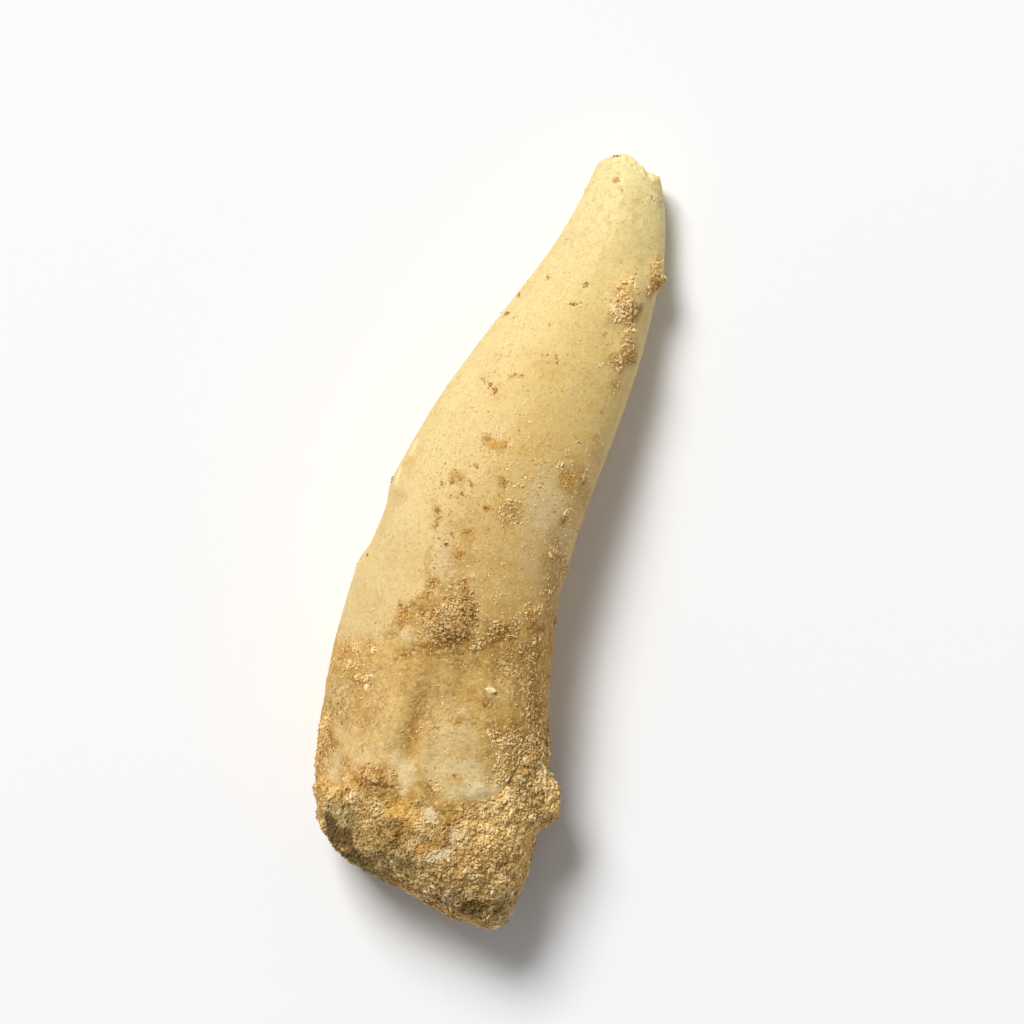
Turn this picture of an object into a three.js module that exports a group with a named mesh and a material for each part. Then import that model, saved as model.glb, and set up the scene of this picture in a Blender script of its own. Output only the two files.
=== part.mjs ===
// A fossil fang of a predatory fish, lying on its flatter side, with the sandy matrix that is
// cemented round its root. Millimetres, +Z up, +Y from root to tip, +X towards the fang's back.
import * as THREE from "three";

// ---------------------------------------------------------------- driving dimensions

// Outline seen from above, as [Y, X]. The left edge is the keen cutting edge and the right one the rounded back.
const CUTTING_EDGE = [
  [-20, -4.8], [-17, -4.95], [-16, -5.4], [-14, -5.95], [-12, -6.3], [-9, -6.66], [-6, -6.78], [-4, -6.78],
  [-2, -6.67], [0, -6.44], [2, -6.05], [5, -5.33], [8, -4.33], [11, -3.22], [14, -2.1], [16, -1.55], [18, -1.17],
  [20, -0.95],
];
const BACK_EDGE = [
  [-20, 5.8], [-18, 6.0], [-16, 5.95], [-14, 5.8], [-12, 5.45], [-10, 5.12], [-8, 4.62], [-6, 4.15], [-4, 3.82], [-2, 3.6],
  [0, 3.6], [2, 3.65], [5, 3.86], [8, 4.03], [10, 4.07], [12, 4.0], [14, 3.86], [15.5, 3.68], [17, 3.31],
  [18, 2.98], [20, 2.45],
];
// Underside and thickness, as [Y, mm]. The fang is bowed: its middle is clear of the surface it lies on.
const UNDERSIDE = [[-20, 0.5], [-18, -0.25], [-13, -0.25], [-10, 0.15], [-4, 0.7], [2, 0.85], [8, 0.5], [12, 0.1],
  [14.5, -0.03], [17, 0.15], [20, 0.65]];
const THICKNESS = [[-20, 6.4], [-17, 8.5], [-13, 8.8], [-9, 8.3], [-4, 7.6], [2, 6.8], [8, 5.6], [12, 4.7],
  [16, 3.6], [18.5, 2.75], [20, 2.2]];
const MID_HEIGHT = 0.42; // height of the widest line, as a share of the thickness

// Powers of the section's superellipse: 1 is an ellipse, more is keener, less is fuller.
const SECTION = { edge: 1.32, back: 0.92, under: 0.84 };

// Ends, as [place across the section from -1 to 1, Y].
const TIP_BREAK = [[-1, 18.9], [-0.9, 19.4], [-0.75, 19.65], [-0.5, 19.85], [-0.3, 20.07], [0.05, 19.9],
  [0.25, 19.72], [0.4, 19.5], [0.5, 19.43], [0.8, 19.4], [0.85, 19.2], [0.93, 18.7], [1, 17.95]];
const ROOT_BREAK = [[-1, -16.1], [-0.6, -16.7], [0, -17.0], [0.7, -17.2], [1, -16.4]];
const CRUST_BASE = [[-1, -17.0], [-0.83, -18.0], [-0.6, -18.75], [-0.1, -19.3], [0.6, -19.98], [0.86, -20.02],
  [1, -19.5]];
const END_DOME = { tip: 0.5, root: 0.7, crust: 1.8 }; // how far each end falls back at its top and underside
const END_REACH = { tip: 3.5, root: 3 }; // length over which the rings turn from square to the end's own line

// Upper rim of the crust, as [degrees round the section from the back, Y]: 90 is the top, 180 the cutting edge.
const CRUST_RIM = [[0, -9.2], [30, -10.4], [55, -13.6], [90, -14.7], [115, -14.2], [135, -14.8], [180, -15.7],
  [215, -15.2], [270, -13.0], [320, -11.2], [360, -9.2]];
const ROOT_INSET = 1.05; // depth of the root under the crust's skin
const INSET_RAMP = 1.5; // length over which the root sinks to that depth
const JOINT_GAP = 0.3; // clearance between root and crust

// Relief. Each form is [X, Y, half width, half length, height], a lump or, with a negative height, a hollow.
const TOP_FORMS = [
  [2.5, 12.75, 0.75, 1.35, 0.5], [3.15, 10.4, 0.55, 0.95, 0.28], [3.5, 14.5, 0.4, 0.95, 0.3], // crumbs near the tip
  [-3.1, -5.0, 0.8, 0.65, 0.24], [-1.5, -5.7, 1.0, 0.8, 0.34], [1.1, -4.9, 0.8, 0.5, 0.18], // crumbs round the neck
  [2.5, -5.3, 0.55, 0.7, 0.2], [-5.3, -9.2, 0.8, 1.0, 0.2],
  [-0.3, -9.3, 1.8, 2.8, -0.45], [-1.4, -11.4, 0.55, 1.7, -0.25], // hollow in the bony base, and its groove
  [-2.8, -12.0, 0.8, 2.6, 0.22], [3.2, -8.2, 0.9, 2.6, 0.2], // ridges on both sides of that hollow
];
const EDGE_CHIP = { y: -1.85, halfLength: 1.7, depth: 0.36, across: 0.3 }; // flake lost from the cutting edge
const UNDER_FORMS = [
  [-1.8, -5.5, 1.1, 4.5, -0.3], [1.6, -3.0, 0.9, 5.5, -0.26], [0.0, -7.5, 1.0, 3.5, 0.18], // flutes of the base
  [-3.2, 3.2, 0.9, 1.3, 0.3], [1.8, 5.4, 0.8, 1.1, 0.26], // crumbs
];
const CRUST_FORMS = [
  [-3.0, -15.2, 1.1, 0.8, 0.35], [0.3, -15.9, 0.9, 0.7, 0.25], [3.6, -15.6, 1.4, 1.3, 0.3], [4.2, -11.6, 1.1, 1.7, 0.3],
];
const CRUST_KNOB = { x: 6.1, y: -12.9, z: 4.2, across: 1.5, along: 1.2, tall: 2.1, height: 1.2 };
const CRUST_PROUD = 0.22; // how far the crust's rim stands out from the tooth
const CRUST_LIP = 0.65; // how far below the rim line the crust's own edge lies, where it is thick enough to be solid
const CRUST_ROUGH = { height: 0.3, size: 1.5 };

// Mesh density.
const TOOTH_ROUND = 52;
const TOOTH_STEP = 0.76;
const CRUST_ROUND = 56;
const CRUST_RINGS = 15;
const SOCKET_RINGS = 12;

// ---------------------------------------------------------------- curves and noise

const lerp = (a, b, t) => a + (b - a) * t;
const smooth = (t) => {
  const k = THREE.MathUtils.clamp(t, 0, 1);
  return k * k * (3 - 2 * k);
};

// A smooth function through points, without overshoot between them.
function curveThrough(points) {
  const slopes = points.slice(1).map(([x, y], i) => (y - points[i][1]) / (x - points[i][0]));
  const tangents = points.map((_, i) => {
    const [before, after] = [slopes[i - 1] ?? slopes[i], slopes[i] ?? slopes[i - 1]];
    return before * after <= 0 ? 0 : (2 * before * after) / (before + after);
  });
  return (x) => {
    if (x <= points[0][0]) return points[0][1];
    if (x >= points.at(-1)[0]) return points.at(-1)[1];
    const i = points.findIndex(([px]) => px > x) - 1;
    const [[x0, y0], [x1, y1]] = [points[i], points[i + 1]];
    const [t, width] = [(x - x0) / (x1 - x0), x1 - x0];
    const bend = tangents[i] * (1 - t) ** 2 * t * width - tangents[i + 1] * t * t * (1 - t) * width;
    return lerp(y0, y1, smooth(t)) + bend;
  };
}

// Repeatable value noise from -1 to 1, with lumps of about the given size.
function noise(x, y, z, size) {
  const [px, py, pz] = [x / size, y / size, z / size];
  const [ix, iy, iz] = [Math.floor(px), Math.floor(py), Math.floor(pz)];
  const hash = (a, b, c) => {
    const s = Math.sin(a * 127.1 + b * 311.7 + c * 74.7) * 43758.5453;
    return (s - Math.floor(s)) * 2 - 1;
  };
  let sum = 0;
  for (const dx of [0, 1])
    for (const dy of [0, 1])
      for (const dz of [0, 1]) {
        const [wx, wy, wz] = [px - ix, py - iy, pz - iz].map(smooth);
        const weight = (dx ? wx : 1 - wx) * (dy ? wy : 1 - wy) * (dz ? wz : 1 - wz);
        sum += weight * hash(ix + dx, iy + dy, iz + dz);
      }
  return sum;
}

const leftAt = curveThrough(CUTTING_EDGE);
const rightAt = curveThrough(BACK_EDGE);
const underAt = curveThrough(UNDERSIDE);
const thickAt = curveThrough(THICKNESS);
const tipBreak = curveThrough(TIP_BREAK);
const rootBreak = curveThrough(ROOT_BREAK);
const crustBase = curveThrough(CRUST_BASE);
const crustRim = curveThrough(CRUST_RIM);

// ---------------------------------------------------------------- the specimen's surface

// The unit section at an angle from the back: u runs across from -1 to 1, v up from -1 to 1.
function sectionPoint(angle) {
  const [c, s] = [Math.cos(angle), Math.sin(angle)];
  const power = lerp(SECTION.back, SECTION.edge, (1 - c) / 2) * (s < 0 ? lerp(1, SECTION.under, -s) : 1);
  return [Math.sign(c) * Math.abs(c) ** power, Math.sign(s) * Math.abs(s) ** power];
}

// Where (u, v) of the section at Y lies, and its outward direction, as [x, z, nx, nz].
function onSection(y, u, v) {
  const [left, right, low, thick] = [leftAt(y), rightAt(y), underAt(y), thickAt(y)];
  const middle = low + MID_HEIGHT * thick;
  const [halfWide, halfTall] = [(right - left) / 2, v > 0 ? low + thick - middle : middle - low];
  const [nx, nz] = [u / halfWide, v / halfTall];
  const length = Math.hypot(nx, nz) || 1;
  return [(left + right) / 2 + u * halfWide, middle + v * halfTall, nx / length, nz / length];
}

// Height of a list of forms at (x, y).
function reliefOf(forms, x, y) {
  return forms.reduce((sum, [fx, fy, wide, long, height]) => {
    const far = ((x - fx) / wide) ** 2 + ((y - fy) / long) ** 2;
    return sum + height * Math.exp(-far);
  }, 0);
}

// The tooth's own relief at a point of its surface.
function toothRelief(x, y, u, v) {
  const above = smooth((v + 0.15) / 0.5);
  const chipped = smooth((-u - 1 + EDGE_CHIP.across) / EDGE_CHIP.across);
  const chip = EDGE_CHIP.depth * chipped * Math.exp(-(((y - EDGE_CHIP.y) / EDGE_CHIP.halfLength) ** 4));
  return above * reliefOf(TOP_FORMS, x, y) + (1 - above) * reliefOf(UNDER_FORMS, x, y) - chip;
}

// How far the crust's skin stands out from the tooth's outline.
function crustRelief(x, y, z, v, belowRim) {
  const k = CRUST_KNOB;
  const far = ((x - k.x) / k.across) ** 2 + ((y - k.y) / k.along) ** 4 + ((z - k.z) / k.tall) ** 2;
  const rough = CRUST_ROUGH.height * (noise(x, y, z, CRUST_ROUGH.size) + 0.5 * noise(x, y, z, CRUST_ROUGH.size / 2.3));
  const forms = v > -0.1 ? reliefOf(CRUST_FORMS, x, y) : 0;
  return k.height * Math.exp(-far) + smooth(belowRim / 0.7) * (CRUST_PROUD + rough * smooth(belowRim / 2) + forms);
}

// ---------------------------------------------------------------- lofting

// A closed solid from rings of points, all of one length, with a point at each end.
function loft(rings, first, last) {
  const round = rings[0].length;
  const points = [...rings.flat(), first, last];
  const [start, end] = [points.length - 2, points.length - 1];
  const faces = [];
  const at = (ring, i) => ring * round + (i % round);
  for (let i = 0; i < round; i++) {
    faces.push(start, at(0, i), at(0, i + 1));
    for (let r = 0; r + 1 < rings.length; r++) {
      faces.push(at(r, i), at(r + 1, i + 1), at(r, i + 1), at(r, i), at(r + 1, i), at(r + 1, i + 1));
    }
    faces.push(end, at(rings.length - 1, i + 1), at(rings.length - 1, i));
  }
  const geometry = new THREE.BufferGeometry();
  geometry.setAttribute("position", new THREE.Float32BufferAttribute(points.flat(), 3));
  geometry.setIndex(faces);
  return geometry;
}

// Rings along the tooth. Near an end they follow that end's break, and at the crust's rim they follow the rim.
function toothRings() {
  const count = Math.round((TIP_FLAT - ROOT_FLAT) / TOOTH_STEP);
  return Array.from({ length: count + 1 }, (_, k) => {
    const level = lerp(ROOT_FLAT, TIP_FLAT, k / count);
    const nearRoot = 1 - smooth((level - ROOT_FLAT) / END_REACH.root);
    const nearTip = 1 - smooth((TIP_FLAT - level) / END_REACH.tip);
    const nearRim = 1 - smooth(Math.abs(level - RIM_FLAT) / (level < RIM_FLAT ? END_REACH.root : RIM_REACH));
    return ringOf(TOOTH_ROUND, 1, (u, v, angle) => {
      const bend = nearRoot * (rootSurface(u, v) - ROOT_FLAT) + nearTip * (tipSurface(u, v) - TIP_FLAT);
      return toothPoint(level + bend + nearRim * (rimAt(angle) - RIM_FLAT), u, v, angle);
    });
  });
}

// One ring of points round the section, drawn in towards its middle by `scale`.
function ringOf(round, scale, point) {
  return Array.from({ length: round }, (_, i) => {
    const angle = (2 * Math.PI * i) / round;
    const [u, v] = sectionPoint(angle).map((n) => n * scale);
    return point(u, v, angle);
  });
}

// ---------------------------------------------------------------- the two solids' points

const rimAt = (angle) => crustRim(THREE.MathUtils.radToDeg(angle) % 360);

// A point of the tooth: the outline with its relief, sunk in below the crust's rim. `grow` swells it evenly.
function toothPoint(y, u, v, angle, grow = 0) {
  const [x, z, nx, nz] = onSection(y, u, v);
  const belowRim = rimAt(angle) - y;
  const inset = ROOT_INSET * smooth(belowRim / INSET_RAMP);
  const edge = Math.hypot(u, v); // under 1 on a cap, where the push fades out towards the middle
  const push = (toothRelief(x, y, u, v) * (1 - inset / ROOT_INSET) - inset + grow) * Math.min(1, edge);
  return [x + nx * push, y, Math.max(z + nz * push, inset - grow)];
}

function crustPoint(y, u, v, angle) {
  const [x, z, nx, nz] = onSection(y, u, v);
  const belowRim = rimAt(angle) - y;
  const push = crustRelief(x, y, z, v, belowRim) * Math.min(1, Math.hypot(u, v));
  return [x + nx * push, y, Math.max(z + nz * push, 0)];
}

const tipSurface = (u, v) => tipBreak(u) - END_DOME.tip * v * v;
const rootSurface = (u, v) => rootBreak(u) + END_DOME.root * v * v;
const crustSurface = (u, v) => crustBase(u) + END_DOME.crust * Math.abs(v) ** 3;

// Levels of the square rings that stand for each end and for the rim.
const TIP_FLAT = 18.6;
const ROOT_FLAT = -16.8;
const RIM_FLAT = -13;
const RIM_REACH = 7;

function toothGeometry() {
  const cap = (surface) => (scale) =>
    ringOf(TOOTH_ROUND, scale, (u, v, angle) => toothPoint(surface(u, v), u, v, angle));
  const rings = [...[0.45, 0.8].map(cap(rootSurface)), ...toothRings(), ...[0.7, 0.35].map(cap(tipSurface))];
  return loft(rings, toothPoint(rootSurface(0, 0), 0, 0, 0), toothPoint(tipSurface(0, 0), 0, 0, 0));
}

// The crust is a cup: outside from its base up to the rim, then down the socket to the socket's floor.
function crustGeometry() {
  const socketPoint = (y, u, v, angle) => toothPoint(y, u, v, angle, JOINT_GAP);
  const floor = (u, v) => rootSurface(u, v) - JOINT_GAP;
  const lip = (angle) => rimAt(angle) - CRUST_LIP;
  const ring = (scale, yAt, point) =>
    ringOf(CRUST_ROUND, scale, (u, v, angle) => point(yAt(u, v, angle), u, v, angle));
  const steps = (count) => Array.from({ length: count + 1 }, (_, k) => k / count);
  const rings = [
    ...[0.25, 0.5, 0.7, 0.87].map((scale) => ring(scale, crustSurface, crustPoint)),
    ...steps(CRUST_RINGS).map((t) => ring(1, (u, v, angle) => lerp(crustSurface(u, v), lip(angle), t), crustPoint)),
    ...steps(SOCKET_RINGS).map((t) => ring(1, (u, v, angle) => lerp(lip(angle), floor(u, v), t), socketPoint)),
    ...[0.75, 0.4].map((scale) => ring(scale, floor, socketPoint)),
  ];
  return loft(rings, crustPoint(crustSurface(0, 0), 0, 0, 0), socketPoint(floor(0, 0), 0, 0, 0));
}

// ---------------------------------------------------------------- output

function pieceOf(name, geometry, color, roughness) {
  geometry.computeVertexNormals();
  const piece = new THREE.Mesh(geometry, new THREE.MeshStandardMaterial({ color, roughness, metalness: 0 }));
  piece.name = name;
  return piece;
}

const specimen = new THREE.Group();
specimen.add(pieceOf("tooth", toothGeometry(), 0xe8cb8f, 0.55));
specimen.add(pieceOf("matrix_crust", crustGeometry(), 0xa88650, 0.95));

// The origin is under the middle of the specimen, on the surface it lies on.
const middle = new THREE.Box3().setFromObject(specimen).getCenter(new THREE.Vector3());
for (const piece of specimen.children) piece.geometry.translate(-middle.x, -middle.y, 0);

export default specimen;
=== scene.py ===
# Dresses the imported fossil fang: its skin, the matrix round its root and the sand grains stuck to both.
# Shapes are worked out in millimetres in the CAD's own frame and scaled to metres when a mesh is made.
import math
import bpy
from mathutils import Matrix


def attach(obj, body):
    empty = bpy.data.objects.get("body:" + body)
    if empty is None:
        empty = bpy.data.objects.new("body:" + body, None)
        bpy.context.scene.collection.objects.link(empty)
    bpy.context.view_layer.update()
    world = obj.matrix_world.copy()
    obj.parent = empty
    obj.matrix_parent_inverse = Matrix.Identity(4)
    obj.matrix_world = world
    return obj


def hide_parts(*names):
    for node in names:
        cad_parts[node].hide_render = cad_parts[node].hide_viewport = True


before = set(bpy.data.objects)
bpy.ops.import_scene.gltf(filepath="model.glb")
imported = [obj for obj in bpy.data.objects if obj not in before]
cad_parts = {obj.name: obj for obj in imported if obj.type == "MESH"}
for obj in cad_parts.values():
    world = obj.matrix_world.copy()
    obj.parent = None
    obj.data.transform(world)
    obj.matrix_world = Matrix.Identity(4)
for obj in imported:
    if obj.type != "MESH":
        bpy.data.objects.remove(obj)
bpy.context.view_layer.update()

from types import SimpleNamespace
import bpy
import numpy as np
from mathutils import Vector

MM = 0.001
RNG = np.random.default_rng(11)
LEAN = 17  # degrees that the fang's own frame is turned in the picture's


def marks(*rows):
    """Patches (X, Y, half width, half length, turn, strength) from rows in hundredths: X, Y, half width, half length,
    strength, then the turn in degrees where it isn't LEAN, which lays a patch out along the picture's sides."""
    return [(*[n / 100 for n in row[:4]], row[5] if row[5:] else LEAN, row[4] / 100) for row in rows]


def sand_marks(*rows):
    """The same for sand, with grain size and brightness ahead of the turn, and layers after it where there are two."""
    return [marks(row[:5] + row[7:8])[0] + (row[5] / 100, row[6] / 100, row[8] if row[8:] else 1) for row in rows]


# ---------------------------------------------------------------- named values, in mm, shared with the solids

CUTTING_EDGE = [
    (-20, -4.8), (-17, -4.95), (-16, -5.4), (-14, -5.95), (-12, -6.3), (-9, -6.66), (-6, -6.78), (-4, -6.78),
    (-2, -6.67), (0, -6.44), (2, -6.05), (5, -5.33), (8, -4.33), (11, -3.22), (14, -2.1), (16, -1.55), (18, -1.17),
    (20, -0.95)]
BACK_EDGE = [
    (-20, 5.8), (-18, 6.0), (-16, 5.95), (-14, 5.8), (-12, 5.45), (-10, 5.12), (-8, 4.62), (-6, 4.15), (-4, 3.82),
    (-2, 3.6), (0, 3.6), (2, 3.65), (5, 3.86), (8, 4.03), (10, 4.07), (12, 4.0), (14, 3.86), (15.5, 3.68),
    (17, 3.31), (18, 2.98), (20, 2.45)]
UNDERSIDE = [(-20, 0.5), (-18, -0.25), (-13, -0.25), (-10, 0.15), (-4, 0.7), (2, 0.85), (8, 0.5), (12, 0.1),
             (14.5, -0.03), (17, 0.15), (20, 0.65)]
THICKNESS = [(-20, 6.4), (-17, 8.5), (-13, 8.8), (-9, 8.3), (-4, 7.6), (2, 6.8), (8, 5.6), (12, 4.7), (16, 3.6),
             (18.5, 2.75), (20, 2.2)]
MID_HEIGHT = 0.42
SECTION = {"edge": 1.32, "back": 0.92, "under": 0.84}
TIP_BREAK = [(-1, 18.9), (-0.9, 19.4), (-0.75, 19.65), (-0.5, 19.85), (-0.3, 20.07), (0.05, 19.9), (0.25, 19.72),
             (0.4, 19.5), (0.5, 19.43), (0.8, 19.4), (0.85, 19.2), (0.93, 18.7), (1, 17.95)]
ROOT_BREAK = [(-1, -16.1), (-0.6, -16.7), (0, -17.0), (0.7, -17.2), (1, -16.4)]
CRUST_BASE = [(-1, -17.0), (-0.83, -18.0), (-0.6, -18.75), (-0.1, -19.3), (0.6, -19.98), (0.86, -20.02), (1, -19.5)]
END_DOME = {"tip": 0.5, "root": 0.7, "crust": 1.8}
CRUST_RIM = [(0, -9.2), (30, -10.4), (55, -13.6), (90, -14.7), (115, -14.2), (135, -14.8), (180, -15.7),
             (215, -15.2), (270, -13.0), (320, -11.2), (360, -9.2)]
ROOT_INSET, INSET_RAMP = 1.05, 1.5
EDGE_CHIP = {"y": -1.85, "half_length": 1.7, "depth": 0.36, "across": 0.3}
TOP_FORMS = [
    (2.5, 12.75, 0.75, 1.35, 0.5), (3.15, 10.4, 0.55, 0.95, 0.28), (3.5, 14.5, 0.4, 0.95, 0.3),
    (-3.1, -5.0, 0.8, 0.65, 0.24), (-1.5, -5.7, 1.0, 0.8, 0.34), (1.1, -4.9, 0.8, 0.5, 0.18),
    (2.5, -5.3, 0.55, 0.7, 0.2), (-5.3, -9.2, 0.8, 1.0, 0.2), (-0.3, -9.3, 1.8, 2.8, -0.45),
    (-1.4, -11.4, 0.55, 1.7, -0.25), (-2.8, -12.0, 0.8, 2.6, 0.22), (3.2, -8.2, 0.9, 2.6, 0.2)]
UNDER_FORMS = [(-1.8, -5.5, 1.1, 4.5, -0.3), (1.6, -3.0, 0.9, 5.5, -0.26), (0.0, -7.5, 1.0, 3.5, 0.18),
               (-3.2, 3.2, 0.9, 1.3, 0.3), (1.8, 5.4, 0.8, 1.1, 0.26)]
CRUST_FORMS = [(-3.0, -15.2, 1.1, 0.8, 0.35), (0.3, -15.9, 0.9, 0.7, 0.25), (3.6, -15.6, 1.4, 1.3, 0.18),
               (4.2, -11.6, 1.1, 1.7, 0.26)]
CRUST_KNOB = {"x": 6.1, "y": -12.9, "z": 4.2, "across": 1.5, "along": 1.2, "tall": 2.1, "height": 1.2}
CRUST_PROUD = 0.22
TIP_FLAT, ROOT_FLAT, RIM_FLAT = 18.6, -16.8, -13.0
SHIFT = np.array([-0.0368, -0.0228, 0.0])  # from the outline's own numbers to the CAD frame

# ---------------------------------------------------------------- named values of the looks

# Where the smooth enamel ends, as (X, Y) from the cutting edge to the back.
ENAMEL_END = [(-7, -7.8), (-5.5, -7.4), (-4.3, -6.7), (-3.3, -6.2), (-2.5, -5.2), (-1.5, -5.0), (-0.3, -6.3),
              (1.0, -5.9), (2.2, -5.0), (4, -4.6)]
# Small forms that the solid leaves out, as (X, Y, half width, half length, height).
FINE_FORMS = [(-2.75, -14.45, 0.75, 0.5, 0.3), (-0.78, -3.0, 0.3, 0.17, 0.09), (1.64, -8.29, 0.2, 0.36, 0.08),
              (3.6, 14.25, 0.28, 0.3, 0.2), (-5.65, -8.6, 0.2, 0.45, 0.12), (-4.85, -9.7, 0.4, 0.2, 0.16),
              (2.72, -0.66, 0.2, 0.17, 0.12), (1.1, 7.68, 0.3, 0.2, 0.05), (-3.3, -6.9, 0.4, 0.35, 0.07),
              (2.31, -13.13, 0.9, 0.5, 0.14)]
# Crumbs and sand stuck to the fang.
SAND_PATCHES = sand_marks(
    (242, 1265, 41, 82, 100, 120, 50, 32, 2), (226, 1195, 41, 31, 100, 115, 30), (239, 1344, 26, 36, 100, 120, 42),
    (209, 1372, 15, 15, 80, 110, 40), (275, 1333, 13, 21, 80, 90, 20), (294, 1237, 26, 31, 70, 120, -15),
    (186, 1204, 21, 21, 80, 90, 20), (261, 1152, 21, 21, 60, 80, 0), (282, 1116, 62, 9, 90, 95, 55, 44),
    (312, 1141, 26, 10, 70, 95, 50, 37), (307, 1070, 21, 26, 75, 80, 30), (331, 1029, 36, 36, 95, 110, 0),
    (369, 1008, 15, 21, 80, 90, -10), (290, 952, 36, 26, 95, 110, 10, 37), (271, 925, 15, 13, 80, 80, 20),
    (224, 921, 41, 5, 60, 50, 60, 42), (215, 1004, 46, 4, 50, 50, 60, 67), (350, 1437, 26, 31, 100, 140, 25),
    (337, 1481, 21, 18, 95, 120, 35), (357, 1520, 13, 31, 90, 100, 25), (345, 1366, 15, 31, 85, 90, 5),
    (231, 1829, 31, 10, 90, 90, 50, 7), (185, 1805, 26, 5, 50, 60, 40, 27), (319, 838, 13, 26, 45, 60, -20),
    (317, 810, 10, 10, 50, 60, 20), (-20, 69, 51, 46, 95, 75, 30), (28, 19, 46, 31, 60, 70, 30, -3),
    (-45, 13, 21, 36, 75, 70, 10), (12, 245, 46, 10, 60, 60, 60, 52), (3, 205, 21, 10, 60, 60, 60),
    (169, 363, 21, 21, 75, 70, 60, 57), (299, 360, 13, 36, 70, 80, 50, 2), (266, 135, 15, 26, 55, 70, 40),
    (258, -66, 26, 21, 80, 90, 40), (-211, -182, 10, 9, 100, 100, 60), (-378, -582, 15, 21, 70, 86, 10, 37),
    (-154, 420, 26, 10, 60, 60, 60, -33), (-182, 459, 21, 13, 60, 60, 60), (282, -252, 26, 21, 50, 80, 40),
    (282, -338, 10, 26, 50, 80, 40), (-162, -554, 82, 62, 80, 84, 25, 17, 2), (-89, -494, 62, 56, 70, 83, 15, 17, 2),
    (-160, -666, 77, 15, 70, 86, 10, 12), (-250, -564, 41, 36, 80, 77, 15), (-146, -447, 62, 26, 60, 80, 25),
    (-123, -611, 62, 26, 85, 84, 35, 17, 2), (-339, -570, 46, 13, 70, 78, 0, 27), (-372, -672, 13, 36, 50, 78, 5, -3),
    (-404, -724, 26, 8, 45, 78, 30, 37), (-269, -415, 31, 26, 80, 80, 5), (-107, -381, 21, 41, 60, 78, 5),
    (66, -580, 51, 26, 75, 85, 20, 47), (130, -507, 72, 31, 80, 90, 25, 47), (195, -439, 51, 28, 80, 90, 30, 29),
    (256, -394, 26, 26, 95, 79, 35), (195, -509, 62, 21, 55, 80, 0, 27), (33, -628, 41, 13, 80, 80, 12, 45),
    (243, -580, 36, 10, 70, 79, 40, 2), (165, -674, 21, 21, 55, 79, 30), (309, -603, 21, 41, 35, 100, 15),
    (306, -523, 26, 15, 50, 92, 30), (189, -613, 15, 26, 50, 80, 30, 47), (349, -751, 15, 46, 30, 92, 20),
    (-608, -867, 67, 10, 85, 85, 12, 49), (-555, -915, 46, 13, 85, 85, 10, 55), (-554, -813, 21, 26, 95, 90, 15),
    (-469, -792, 21, 18, 60, 80, 25), (-472, -959, 46, 18, 95, 110, 40, 2), (-640, -920, 21, 10, 60, 80, 20, 47),
    (-583, -1331, 26, 56, 95, 100, 0), (-567, -1439, 23, 62, 85, 100, -12), (-591, -1237, 21, 26, 70, 90, 20),
    (-271, -1440, 87, 67, 100, 105, -10), (-191, -1458, 21, 36, 95, 110, 5), (32, -1363, 26, 18, 70, 80, 20, -23),
    (88, -1389, 31, 21, 50, 80, 20), (369, -1062, 92, 92, 80, 85, 15), (440, -943, 46, 92, 90, 90, 20),
    (440, -1206, 118, 108, 100, 90, 20), (576, -1299, 67, 103, 100, 95, 20), (310, -1166, 31, 72, 80, 95, 25),
    (380, -833, 46, 56, 30, 95, 20), (261, -1041, 31, 36, 50, 80, 30), (331, -113, 21, 154, 25, 80, 0, 29),
    (-165, -437, 51, 21, 60, 78, 12), (-303, -479, 46, 15, 60, 78, 5, 59), (336, -621, 31, 51, 15, 86, 15),
    (290, -700, 72, 21, 25, 78, 30), (207, -725, 26, 51, 30, 80, 25), (411, -759, 21, 72, 20, 80, 25),
    (-227, -1410, 36, 46, 70, 90, 12), (-516, -903, 26, 26, 60, 75, 30), (-169, -373, 41, 21, 50, 85, 25),
    (-82, -427, 26, 41, 60, 80, 20), (1, -541, 26, 31, 50, 85, 10), (-361, -534, 31, 15, 60, 85, 10, 57),
    (-253, -624, 41, 31, 50, 78, 15), (-164, -721, 92, 15, 35, 78, 10), (375, 1428, 26, 36, 150, 140, 20))
# Loose slivers, with how densely they lie for strength.
SPECKLE = marks(
    (115, 277, 195, 256, 700), (339, -191, 144, 359, 500, 7), (-86, 322, 174, 174, 700), (-119, -975, 513, 308, 450),
    (253, -700, 144, 246, 350), (-273, -30, 133, 256, 350), (-153, -513, 256, 144, 600), (-379, -1001, 256, 256, 350),
    (-342, 458, 462, 256, 160), (111, 1080, 205, 462, 100), (60, -330, 174, 205, 600), (35, -1303, 308, 123, 300))
# Single larger flakes, as (X, Y, radius, tone).
FLAKES = [
    (-4.52, -10.07, 0.18, 0.72), (3.39, -12.8, 0.144, 0.72), (2.34, 18.36, 0.16, 0.82), (2.17, 18.2, 0.13, 0.8),
    (2.53, 18.26, 0.12, 0.7), (1.57, -8.16, 0.19, 0.72), (1.66, -8.46, 0.15, 0.68)]
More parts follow.
